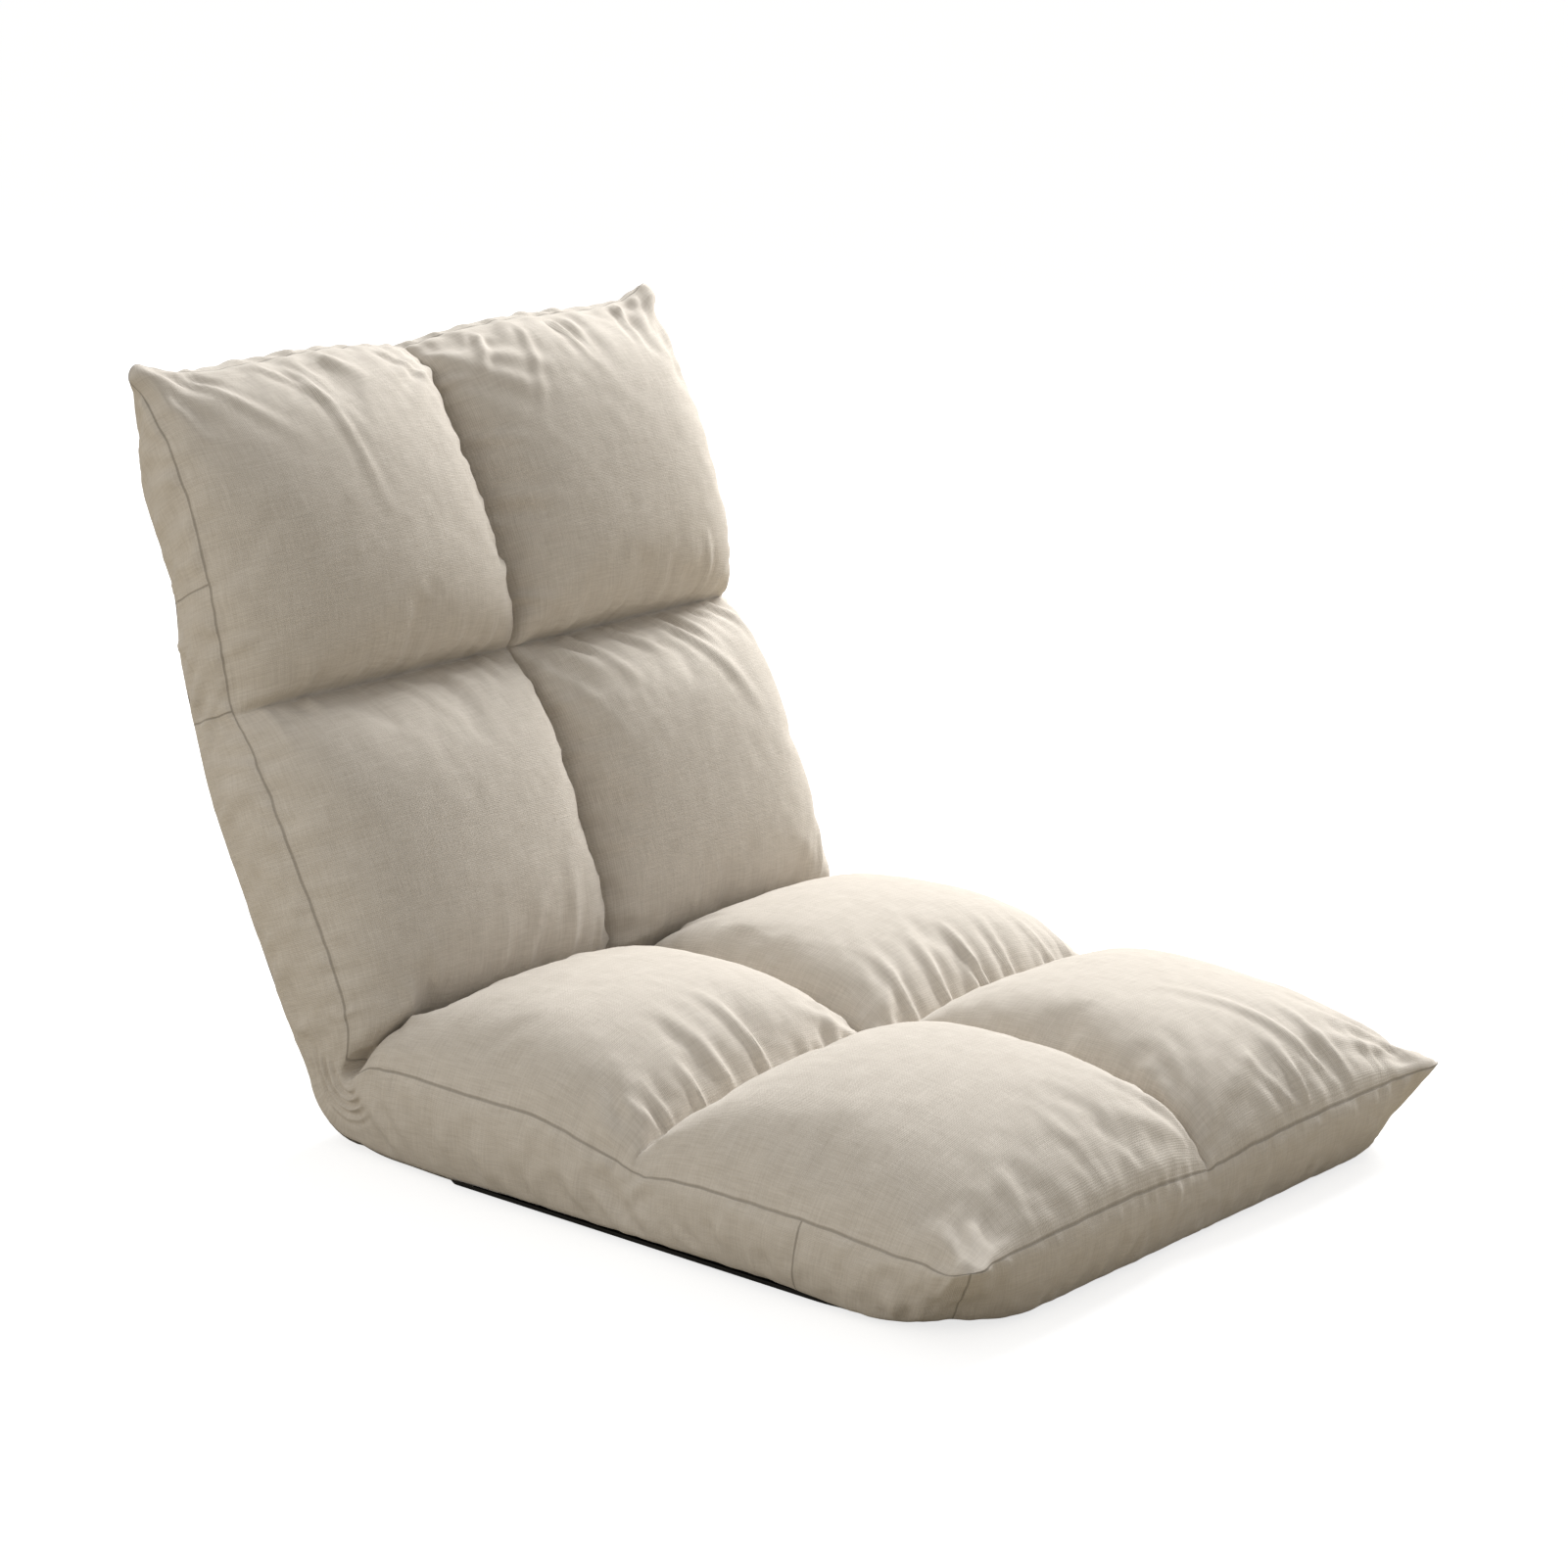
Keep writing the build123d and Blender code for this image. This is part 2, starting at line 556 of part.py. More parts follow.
def tube_rivets():
    """Cross rivets through the tube ends, their heads fitted to the round tube."""
    rivets = []
    for side in (-1, 1):
        middle = side * TUBE_X
        leg = Pos(middle, TUBE_START + TONGUE / 2, 0) * Rot(90, 0, 0) * Cylinder(TUBE / 2, 2 * TONGUE)
        for offset in RIVETS_AT:
            at = TUBE_START + offset
            reach = TUBE / 2 + RIVET_HEAD_THICK
            heads = pin(at, 0, RIVET_HEAD / 2, middle - reach, middle + reach) - leg
            rivets.append(heads + pin(at, 0, RIVET / 2, middle - reach, middle + reach))
    return rivets


def make_hinges():
    for name, side in SEAT_SIDES.items():
        save(SEAT * hinge_plate(side, True), f"hinge_outer_plate_{name}")
        save(SEAT * hinge_plate(side, False), f"hinge_inner_plate_{name}")
        save(SEAT * pawl(side), f"pawl_{name}")
        save(SEAT * leaf_spring(side), f"pawl_spring_{name}")
        pivot = headed_pin(0, 0, PIVOT / 2, PIVOT_HEAD / 2, PIVOT_HEAD_THICK, side * TUBE_X, PLATE_OUT)
        save(SEAT * pivot, f"hinge_pivot_{name}")
    for name, side in BACK_SIDES.items():
        save(BACK * notched_arm(side), f"notched_arm_{name}")
    save(SEAT * Compound(housing_pins()), "hinge_pins")
    save(SEAT * Compound(tube_rivets()), "seat_tube_rivets")
    save(BACK * Compound(tube_rivets()), "back_tube_rivets")


# Zip: tape behind a slot in the rear panel, coil in the slot, slider and pull outside
ZIP_FACE = CLOTH - AXIS_HEIGHT + ZIP_TAPE_GAP
SLIDER_UNDER = -AXIS_HEIGHT - SLIDER_CLEAR
SLIDER_TOP = SLIDER_UNDER - SLIDER_PLATE
BAIL_H = SLIDER_TOP - BAIL_RISE
SLIDER_X = ZIP_LENGTH / 2 - SLIDER


def zip_slot():
    return block(-ZIP_LENGTH / 2, ZIP_LENGTH / 2, ZIP_AT - ZIP_SLOT / 2, ZIP_AT + ZIP_SLOT / 2,
                 -AXIS_HEIGHT - CLOTH, 2 * CLOTH - AXIS_HEIGHT)


def zip_tape():
    reach = ZIP_LENGTH / 2 + ZIP_TAPE / 2
    tape = block(-reach, reach, ZIP_AT - ZIP_TAPE / 2, ZIP_AT + ZIP_TAPE / 2,
                 ZIP_FACE, ZIP_FACE + ZIP_TAPE_THICK)
    reach = ZIP_LENGTH / 2 - SEAM_GAP
    return tape + block(-reach, reach, ZIP_AT - COIL / 2, ZIP_AT + COIL / 2,
                        ZIP_FACE - COIL_HEIGHT, ZIP_FACE)


def zip_slider():
    x0 = SLIDER_X - SLIDER / 2
    x1 = SLIDER_X + SLIDER / 2
    y0 = ZIP_AT - SLIDER_WIDTH / 2
    y1 = ZIP_AT + SLIDER_WIDTH / 2
    body = block(x0, x1, y0, y1, SLIDER_TOP, SLIDER_UNDER)
    for edge in (y0, y1):
        inner = ZIP_AT + math.copysign(COIL / 2 + SLIDER_CLEAR, edge - ZIP_AT)
        low, high = sorted((edge, inner))
        body += block(x0, x1, low, high, SLIDER_UNDER, ZIP_FACE - SLIDER_CLEAR)
    reach = PULL_WIDTH / 2 + PULL_SIDE_CLEAR
    for side in (-1, 1):
        low, high = sorted((SLIDER_X + side * reach, SLIDER_X + side * (reach + BAIL_POST)))
        body += block(low, high, ZIP_AT - BAIL / 2, ZIP_AT + BAIL / 2, BAIL_H - BAIL / 2, SLIDER_TOP)
    return body + pin(ZIP_AT, BAIL_H, BAIL / 2, SLIDER_X - reach, SLIDER_X + reach)


def zip_pull():
    """Pull that hangs straight down from the slider's bar when the back is at rest."""
    x0 = SLIDER_X - PULL_WIDTH / 2
    x1 = SLIDER_X + PULL_WIDTH / 2
    shape = Circle(PULL_EYE / 2) + Pos(-PULL_LENGTH / 2, 0) * Rectangle(PULL_LENGTH, PULL_THICK)
    shape -= Circle(BAIL / 2 + PULL_BORE_CLEAR)
    return slab(Pos(ZIP_AT, BAIL_H) * Rot(0, 0, RECLINE - 90 - REAR_SLOPE) * shape, x0, x1)


def make_zip():
    save(REAR * zip_tape(), "zip_tape")
    save(REAR * zip_slider(), "zip_slider")
    save(REAR * zip_pull(), "zip_pull")


os.makedirs("parts", exist_ok=True)

make_pads("seat", SEAT_LENGTH, SEAT_TUFT, SEAT, SEAT_SIDES, "rear", "front")
make_pads("back", BACK_LENGTH, BACK_TUFT, BACK, BACK_SIDES, "lower", "upper")
make_boxing("seat", SEAT_LENGTH, SEAT_TUFT, 0, 0, SEAT, SEAT_SIDES, "front")
make_boxing("back", BACK_LENGTH, BACK_TUFT, REAR_RISE, REAR_TAPER, BACK, BACK_SIDES, "top")

save(SEAT * flat_cloth(SEAT_LENGTH, 0, 0), "base_cloth")
save(REAR * (flat_cloth(BACK_LENGTH, REAR_RISE, REAR_TAPER) - zip_slot()), "rear_panel")
save(SEAT * hinge_cloth(), "hinge_cloth")
for side_name, side_sign in SEAT_SIDES.items():
    save(SEAT * crease_gusset(side_sign), "crease_gusset_" + side_name)

for half_name, half_length, half_rise, half_place in (
        ("seat", SEAT_LENGTH, 0, SEAT), ("back", BACK_LENGTH, REAR_RISE, BACK)):
    save(half_place * foam(half_length, half_rise), half_name + "_foam")
    save(half_place * frame_tube(half_length), half_name + "_frame_tube")
    save(half_place * cross_tube(), half_name + "_cross_tube")
    save(half_place * Compound(webbing(half_length)), half_name + "_webbing")

make_hinges()
make_zip()
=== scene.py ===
# %% [markdown]
# # A folding floor chair
# The chair is a seat and a back of equal width, joined by a ratchet hinge inside the fold. Each half is a
# flat steel frame with foam, and over it goes one sewn cotton cover, stuffed into two by two pads.
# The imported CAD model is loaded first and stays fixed. Every piece below is made around it, in metres.

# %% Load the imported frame
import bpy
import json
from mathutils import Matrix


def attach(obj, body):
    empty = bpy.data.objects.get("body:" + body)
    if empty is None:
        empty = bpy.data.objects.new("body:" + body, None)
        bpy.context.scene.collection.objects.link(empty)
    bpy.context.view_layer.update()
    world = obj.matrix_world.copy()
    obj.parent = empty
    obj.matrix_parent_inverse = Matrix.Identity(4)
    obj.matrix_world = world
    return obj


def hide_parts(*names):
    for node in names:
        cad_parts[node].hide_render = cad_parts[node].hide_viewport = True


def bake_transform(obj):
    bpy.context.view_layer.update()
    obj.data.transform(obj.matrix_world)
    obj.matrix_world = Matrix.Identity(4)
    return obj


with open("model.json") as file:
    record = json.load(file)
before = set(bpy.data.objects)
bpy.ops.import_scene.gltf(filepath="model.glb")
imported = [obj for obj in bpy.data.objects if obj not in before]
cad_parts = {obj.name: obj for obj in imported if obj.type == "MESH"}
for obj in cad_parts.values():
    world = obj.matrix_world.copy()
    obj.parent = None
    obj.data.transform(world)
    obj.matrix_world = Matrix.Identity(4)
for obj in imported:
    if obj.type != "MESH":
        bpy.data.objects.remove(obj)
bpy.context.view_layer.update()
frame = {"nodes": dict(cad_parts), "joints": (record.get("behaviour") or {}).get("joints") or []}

# %% [markdown]
# ## Camera
# The photograph was taken from the sitter's right, a little above the seat, with a long lens. The camera's
# place and lens were worked out from the corners of the seams. Its shift only moves the chair in the frame.

# %% Camera
import json
import math
import bpy
import numpy as np
from mathutils import Vector

CAMERA_AT = Vector((-2.0011, -1.6235, 0.9329))
CAMERA_TO = Vector((0.0, 0.1135, 0.196))
camera_data = bpy.data.cameras.new("camera")
camera_data.lens = 95.36
camera_data.sensor_width = 36.0
camera_data.shift_x = 0.01606
camera_data.shift_y = 0.02895
camera = bpy.data.objects.new("camera", camera_data)
bpy.context.scene.collection.objects.link(camera)
camera.location = CAMERA_AT
camera.rotation_euler = (CAMERA_TO - CAMERA_AT).to_track_quat("-Z", "Y").to_euler()
bpy.context.scene.camera = camera
print("camera", round((CAMERA_TO - CAMERA_AT).length, 3), "m from the chair")

# %% [markdown]
# ## The cover, laid flat
# A cover like this is cut and sewn flat. So it is drawn flat here too: `across` the chair, `along` it from
# the fold (the seat is on the minus side, the back on the plus side), and `rise` above the hinge axis.
# One function then turns the back half up about the hinge. A sculpted lump would also give pads, but only
# the flat layout keeps the seams, the stitched channels and the run of the threads in their real places.

# %% Flat layout and fold
HALF = 0.250
SEAT_LENGTH = 0.527
BACK_LENGTH = 0.487
SEAT_TUFT = 0.255
BACK_TUFT = 0.251
CREASE = 0.010
TINY = 1e-9
fold = next(joint for joint in frame["joints"] if joint["name"] == "fold")
AXIS_Y, AXIS_Z = fold["pos_m"][1:]
TURN = math.radians(67.5)


def fold_up(flat):
    """Points (across, along, rise) set in the chair's frame, the back half turned up about the hinge."""
    across, along, rise = flat[:, 0], flat[:, 1], flat[:, 2]
    turn = TURN * np.clip((along + CREASE) / (2 * CREASE), 0, 1)
    y = AXIS_Y + along * np.cos(turn) - rise * np.sin(turn)
    z = AXIS_Z + along * np.sin(turn) + rise * np.cos(turn)
    return np.stack([across, y, z], 1)


def knots(*points):
    """Smooth curve through points, given in millimetres."""
    x, y = np.array(points, float).T / 1000
    slope = np.gradient(y, x)

    def curve(at):
        at = np.clip(at, x[0], x[-1])
        i = np.clip(np.searchsorted(x, at, side="right") - 1, 0, len(x) - 2)
        wide = x[i + 1] - x[i]
        t = (at - x[i]) / wide
        rise = (1 + 2 * t) * (1 - t) ** 2 * y[i] + t ** 2 * (3 - 2 * t) * y[i + 1]
        return rise + wide * (t * (1 - t) ** 2 * slope[i] - t ** 2 * (1 - t) * slope[i + 1])

    return curve


print("fold axis at", AXIS_Y, AXIS_Z)

# %% [markdown]
# ## Seams and stitched channels
# The pads get their form from the lines that hold them: the seam round the edge, a channel stitched down the
# middle and one across each half. Their heights along the chair are set from the photograph: the seam
# dips where a channel pulls on it, and the corners stand out as small points.

# %% Heights of the seams and channels
side_rise = knots(
    (-527, 8), (-512, 4), (-483, 3), (-431, 6), (-355, 9), (-300, 8), (-262, 3), (-232, 11), (-194, 20),
    (-117, 22), (-45, 20), (-24, 15), (-10, 8), (0, 6), (10, 8), (24, 17), (50, 26), (90, 28), (148, 24),
    (205, 17), (232, 10), (256, 3), (285, 11), (333, 22), (400, 26), (440, 22), (475, 14), (487, 13))
side_reach = knots(
    (-527, 250), (-518, 254), (-500, 250), (-431, 248), (-300, 247), (-260, 242), (-220, 246),
    (-117, 247), (-24, 245), (0, 243), (24, 244), (90, 246), (200, 246), (254, 242), (300, 246),
    (440, 248), (465, 250), (479, 255), (487, 251))
left_draw = knots(
    (-527, 0), (-30, 0), (20, 6), (60, 13), (150, 14), (215, 10), (252, 2), (290, 4), (400, 9), (450, 6),
    (487, 0))
middle_rise = knots(
    (-527, -1), (-512, 4), (-495, 11), (-450, 15), (-380, 16), (-300, 17), (-255, 16), (-210, 17),
    (-120, 16), (-40, 14), (-10, 8), (0, 7), (10, 8), (40, 14), (120, 16), (210, 17), (251, 16),
    (300, 16), (400, 15), (455, 13), (487, 4))
cross_rise = knots((0, 16), (40, 17), (120, 17), (190, 17), (215, 16), (228, 14), (239, 9), (250, 3))
crease_rise = knots((0, 8), (120, 8), (250, 8))
front_rise = knots((0, -1), (25, 2), (70, 7), (150, 9), (215, 7), (250, 8))
top_rise = knots((0, 4), (30, 8), (90, 15), (180, 16), (250, 13))
front_draw = knots((0, 9), (30, 6), (80, 2), (150, 0), (225, 0), (242, -4), (250, 0))
top_draw = knots((0, 14), (35, 10), (90, 8), (150, 10), (200, 9), (230, 2), (243, -3), (250, 1))
CROWDING = 0.07
COLUMN_POWER = 1.25


def spread(low, high, count):
    """Places from low to high, closer together at both ends."""
    share = np.linspace(0, 1, count)
    return low + (high - low) * (share - CROWDING * np.sin(2 * np.pi * share))


STATIONS = np.concatenate([
    spread(-SEAT_LENGTH, -SEAT_TUFT, 46)[:-1],
    spread(-SEAT_TUFT, -CREASE, 42)[:-1],
    np.linspace(-CREASE, CREASE, 10, endpoint=False),
    spread(CREASE, BACK_TUFT, 42)[:-1],
    spread(BACK_TUFT, BACK_LENGTH, 42),
])
even = np.linspace(-1, 1, 85)
COLUMNS = HALF * np.sign(even) * np.abs(even) ** COLUMN_POWER
print(len(STATIONS), "stations along,", len(COLUMNS), "columns across")

# %% Shape of one row of pads
CROWN = 0.048
DOME_ROUND, DOME_STEEP, DOME_LEAN = 2.5, 0.58, 0.67
SHOULDER = 0.010
SHOULDER_AT, SHOULDER_LONG = 0.030, 0.018
SHOULDER_OUT, SHOULDER_WIDE = 0.88, 0.10


def dome(share):
    """Height of a pad between two lines: 0 on both, 1 half way."""
    return (1 - np.abs(2 * np.clip(share, 0, 1) - 1) ** DOME_ROUND) ** DOME_STEEP


def pad_surface(across, along, low, high, low_rise, high_rise, sag, thin):
    """Height of one row of pads between two lines.

    A sag under 1 moves the fullest part towards the low line, and thin flattens the far end.
    """
    outward = np.abs(across) / HALF
    onward = np.clip((along - low) / (high - low), 0, 1)

    def between(place):
        return (1 - outward) * middle_rise(place) + outward * side_rise(place)

    edges = between(along)
    edges += (1 - onward) * low_rise(np.abs(across)) + onward * high_rise(np.abs(across))
    edges -= (1 - onward) * between(np.full(1, low))
    edges -= onward * between(np.full(1, high))
    by_crease = (np.abs(along) - SHOULDER_AT) / SHOULDER_LONG
    by_seam = (outward - SHOULDER_OUT) / SHOULDER_WIDE
    shoulder = SHOULDER * np.exp(-by_crease ** 2 - by_seam ** 2)
    return edges + CROWN * (1 - thin * onward) * dome(outward ** DOME_LEAN) * dome(onward ** sag) + shoulder


# %% Stuffed top
ROWS = (
    (-SEAT_LENGTH, -SEAT_TUFT, front_rise, cross_rise, 1.0, 0.0),
    (-SEAT_TUFT, -CREASE, cross_rise, crease_rise, 1.0, 0.0),
    (-CREASE, CREASE, crease_rise, crease_rise, 1.0, 0.0),
    (CREASE, BACK_TUFT, crease_rise, cross_rise, 1.0, 0.0),
    (BACK_TUFT, BACK_LENGTH, cross_rise, top_rise, 0.68, 0.25),
)


def top_points():
    """Grid of points of the top panel; the crease is one row with the same line on both sides."""
    along, across = np.meshgrid(STATIONS, COLUMNS, indexing="ij")
    rise = np.zeros_like(along)
    for low, high, low_rise, high_rise, sag, thin in ROWS:
        here = (along >= low - TINY) & (along <= high + TINY)
        height = pad_surface(across, along, low, high, low_rise, high_rise, sag, thin)
        if low_rise is high_rise:
            height = crease_rise(np.abs(across))
        rise[here] = height[here]
    reach = side_reach(along) - np.where(across > 0, left_draw(along), 0)
    moved_across = across * (1 + (np.abs(across) / HALF) ** 3 * (reach / HALF - 1))
    to_front = np.clip((-along - SEAT_TUFT) / (SEAT_LENGTH - SEAT_TUFT), 0, 1)
    to_top = np.clip((along - BACK_TUFT) / (BACK_LENGTH - BACK_TUFT), 0, 1)
    moved_along = along + to_front ** 3 * front_draw(np.abs(across))
    moved_along -= to_top ** 3 * top_draw(np.abs(across))
    return np.stack([moved_across, moved_along, rise], -1)


top = top_points()
print("highest pad before stuffing", round(float(top[..., 2].max()) * 1000, 1), "mm above the axis")

# %% [markdown]
# ## Boxing
# The boxing is the strip of cloth that goes round the edge, from the seam down to the foot of the chair. It
# bellies out beside the pads and is drawn in at the channels, and its lower edge turns under. Each line of
# points runs from the seam to the foot, so the strip joins the top panel with no gap.

# %% Curves of the boxing
BOXING_ROWS = 9
TURN_UNDER = ((0.0055, 0.0024), (0.0150, 0.0034), (0.0280, 0.0036))
CORNER = 0.075
CORNER_LIFT = 0.004
LIP_PLACE, LIP_ROOM = (-0.490, -0.470), (0.0004, 0.0024)
foot_reach = knots(
    (-527, 243), (-400, 245), (-120, 243), (-50, 240), (0, 236), (50, 242), (150, 246), (205, 249),
    (256, 247), (300, 244), (343, 236), (380, 237), (420, 239), (460, 241), (487, 242))
foot_rise = knots(
    (-527, -42), (-440, -42), (-390, -39), (-250, -38), (-150, -39), (-90, -41), (-60, -41), (-20, -41),
    (0, -38), (20, -36), (60, -35), (110, -36), (150, -37), (256, -33), (343, -27), (420, -24),
    (487, -20))
belly = knots(
    (-527, 1), (-480, 4), (-390, 6), (-300, 4), (-255, 1), (-205, 5), (-130, 7), (-50, 5), (0, 2),
    (50, 5), (130, 7), (205, 5), (251, 1), (300, 4), (370, 6), (450, 4), (487, 0))
end_belly = knots((0, 2), (60, 4), (130, 6), (200, 4), (250, 1))
FRONT_FOOT = 0.513
TOP_FOOT = 0.475
TOP_REAR = 0.024
REAR_RISE = (AXIS_Z - TOP_REAR) / BACK_LENGTH
rear_belly = knots((-130, 0), (-10, 0), (30, 0), (120, 0.5), (200, 3), (300, 5), (400, 4), (470, 1))


# %% From the seam to the foot
def cloth_rise(along):
    """Rise of the flat cloths below the seat and behind the back, at their middle."""
    return -AXIS_Z + max(along, 0.0) * REAR_RISE - float(rear_belly(along))


def foot_corner(reach, end, turn):
    """Point of the rounded foot corner at a turn from 0 (side) to 90 degrees (end)."""
    turn = math.radians(turn)
    return reach - CORNER + CORNER * math.cos(turn), end - CORNER + CORNER * math.sin(turn)


ENDS = ((-1, SEAT_LENGTH, FRONT_FOOT), (1, BACK_LENGTH, TOP_FOOT))


def side_foot(along):
    """Foot of the side boxing (reach across, place along, rise), and how far it faces an end."""
    reach, rise, place, turn = float(foot_reach(along)), float(foot_rise(along)), along, 0.0
    for sign, length, end in ENDS:
        beyond = (sign * along - (length - CORNER)) / CORNER
        if beyond > 0:
            reach, distance = foot_corner(reach, end, 45 * beyond)
            place = sign * distance
            rise += CORNER_LIFT * beyond ** 2
            turn = sign * beyond * math.pi / 4
        elif beyond > -2:
            place -= sign * (length - end) * (1 + beyond / 2) ** 2
    return (reach, place, rise), turn


def end_foot(across, sign, length, end):
    """Foot of the front or top boxing, the same way, and how far it faces a side."""
    reach, rise = float(foot_reach(sign * length)), float(foot_rise(sign * length))
    beyond = (abs(across) - (HALF - CORNER)) / CORNER
    if beyond <= 0:
        drawn = (HALF - reach) * max(0.0, 1 + beyond) ** 2
        return (across - math.copysign(drawn, across), sign * end, rise), 0.0
    reach, distance = foot_corner(reach, end, 90 - 45 * beyond)
    rise += CORNER_LIFT * beyond ** 2
    return (math.copysign(reach, across), sign * distance, rise), beyond * math.pi / 4


def strip(seam, foot, out, bulge):
    """Points from a seam point to the foot, bellied outwards, then turned under."""
    seam, foot, out = (np.array(point, float) for point in (seam, foot, out))
    points = []
    for row in range(1, BOXING_ROWS + 1):
        share = row / BOXING_ROWS
        points.append(seam + (foot - seam) * share + out * bulge * math.sin(math.pi * share))
    for inward, down in TURN_UNDER:
        under = foot - out * inward
        room = np.interp(under[1], LIP_PLACE, LIP_ROOM)
        under[2] = max(foot[2] - down, cloth_rise(under[1]) + room)
        points.append(under)
    return points


# %% Points of the cover
flat = [tuple(point) for point in top.reshape(-1, 3)]
count_along, count_across = len(STATIONS), len(COLUMNS)
top_index = np.arange(count_along * count_across).reshape(count_along, count_across)
STRIP_ROWS = BOXING_ROWS + len(TURN_UNDER)
STRIP_PITCH = 0.0062


def add_strip(station, column, *shape_of_strip):
    """Adds the boxing points below one seam point, and gives their numbers, from the seam down."""
    first = len(flat)
    flat.extend(tuple(point) for point in strip(top[station, column], *shape_of_strip))
    return [top_index[station, column]] + list(range(first, len(flat)))


side_index = {}
for sign, column in ((-1, 0), (1, count_across - 1)):
    lines = []
    for station, along in enumerate(STATIONS):
        (reach, place, rise), turn = side_foot(along)
        out = (sign * math.cos(turn), math.sin(turn), 0)
        lines.append(add_strip(station, column, (sign * reach, place, rise), out, float(belly(along))))
    side_index[sign] = np.array(lines).T

end_index = {}
for (sign, length, end), station in zip(ENDS, (0, count_along - 1)):
    lines = [list(side_index[-1][:, station])]
    for column, across in list(enumerate(COLUMNS))[1:-1]:
        foot, turn = end_foot(across, sign, length, end)
        out = (math.copysign(math.sin(turn), across), sign * math.cos(turn), 0)
        lines.append(add_strip(station, column, foot, out, float(end_belly(abs(across)))))
    lines.append(list(side_index[1][:, station]))
    end_index[sign] = np.array(lines).T
print("boxing has", len(flat) - top_index.size, "points")


# %% Faces and cutting layout
def quads(grid, turned):
    """Corners of the faces of a grid, of point numbers or of places in the cutting layout."""
    corners = [grid[:-1, :-1], grid[1:, :-1], grid[1:, 1:], grid[:-1, 1:]]
    if turned:
        corners[1:] = corners[:0:-1]
    stacked = np.stack(corners, 2)
    return stacked.reshape(-1, *stacked.shape[2:])


def cutting_layout():
    """The place of each grid point on the flat cut cloth, for the run of the threads."""
    depth = np.arange(STRIP_ROWS + 1) * STRIP_PITCH
    yield np.stack(np.meshgrid(STATIONS, COLUMNS, indexing="ij")[::-1], -1), True
    for sign in (1, -1):
        out, along = np.meshgrid(depth, STATIONS, indexing="ij")
        yield np.stack([sign * (HALF + out), along], -1), sign < 0
    for sign, length, end in ENDS:
        out, across = np.meshgrid(depth, COLUMNS, indexing="ij")
        yield np.stack([across, sign * (length + out)], -1), sign > 0


grids = [(top_index, True), (side_index[1], False), (side_index[-1], True),
         (end_index[-1], False), (end_index[1], True)]
faces = np.concatenate([quads(grid, turned) for grid, turned in grids])
layout = np.concatenate([quads(grid, turned) for grid, turned in cutting_layout()])
flat = np.array(flat, float)
print("cover:", len(flat), "points,", len(faces), "faces")

# %% [markdown]
# ## Stuffing the pads
# On the real chair loose fibre pushes the cloth out from inside, and the stitched lines hold it back, so
# the cloth puckers beside every line. That is what a cloth simulation with air pressure does. The lines and
# the foot are pinned, and the cloth near the lines is given a little extra length to make the puckers.
# Gravity is off, and the movement is capped so that the pads stay at their size.

# %% Pins and spare cloth
SEED = 11
STUFF_FRAMES = 24
STUFF_CAP = 0.030
SEAM_HOLD = 0.62
BOXING_HOLD = 0.25
CREASE_HOLD, CREASE_WIDE = 0.65, 0.030
SEAM_KNOTS = (-SEAT_LENGTH, -SEAT_TUFT - 0.005, 0.0, BACK_TUFT + 0.003, BACK_LENGTH)
KNOT_WIDE, MIDDLE_WIDE, POINT_WIDE = 0.010, 0.012, 0.008
LINE_NEAR, EDGE_NEAR = 0.035, 0.03
BOXING_SPARE = 0.8
channels = [top_index[:, count_across // 2]]
channels += [top_index[np.argmin(np.abs(STATIONS - line))] for line in (-SEAT_TUFT, BACK_TUFT)]


def near(distance, wide):
    """1 at a distance of 0, falling off over a width."""
    return np.exp(-(np.abs(distance) / wide) ** 2)


def pin_weights():
    """How firmly each point is held: 1 on the stitched lines and the foot, less on the seams."""
    held = np.zeros(len(flat))
    for row in channels:
        held[row] = 1
    held[top_index[np.abs(STATIONS) < CREASE + TINY]] = 1

    def hold_seam(row, closeness):
        held[row] = np.maximum(held[row], SEAM_HOLD + (1 - SEAM_HOLD) * closeness)

    for sign in (-1, 1):
        side, end = side_index[sign], end_index[sign]
        hold_seam(side[0], np.maximum.reduce([near(STATIONS - place, KNOT_WIDE) for place in SEAM_KNOTS]))
        held[side[BOXING_ROWS:]] = 1
        held[side[1:BOXING_ROWS]] = BOXING_HOLD + CREASE_HOLD * near(STATIONS, CREASE_WIDE)
        hold_seam(end[0], np.maximum(near(COLUMNS, MIDDLE_WIDE), near(np.abs(COLUMNS) - HALF, POINT_WIDE)))
        held[end[BOXING_ROWS:]] = 1
        held[end[1:BOXING_ROWS, 1:-1]] = BOXING_HOLD
    return held


def spare_cloth():
    """Share of the extra length that each point gets: most beside the stitched lines."""
    spare = np.zeros(len(flat))
    along, across = np.meshgrid(STATIONS, COLUMNS, indexing="ij")
    lines = [near(along - line, LINE_NEAR) for line in (-SEAT_TUFT, BACK_TUFT, -SEAT_LENGTH, BACK_LENGTH)]
    lines += [near(np.abs(across) - line, EDGE_NEAR) for line in (HALF, 0.0)]
    spare[top_index] = np.maximum.reduce(lines)
    for sign in (-1, 1):
        spare[side_index[sign][1:BOXING_ROWS]] = BOXING_SPARE
    return spare


# %% Helpers for pieces
def new_piece(name, points, corners):
    """Mesh object at the origin, its place in its points."""
    mesh = bpy.data.meshes.new(name)
    mesh.from_pydata(np.asarray(points).tolist(), [], [[int(i) for i in face] for face in corners])
    mesh.update()
    piece = bpy.data.objects.new(name, mesh)
    bpy.context.scene.collection.objects.link(piece)
    return piece


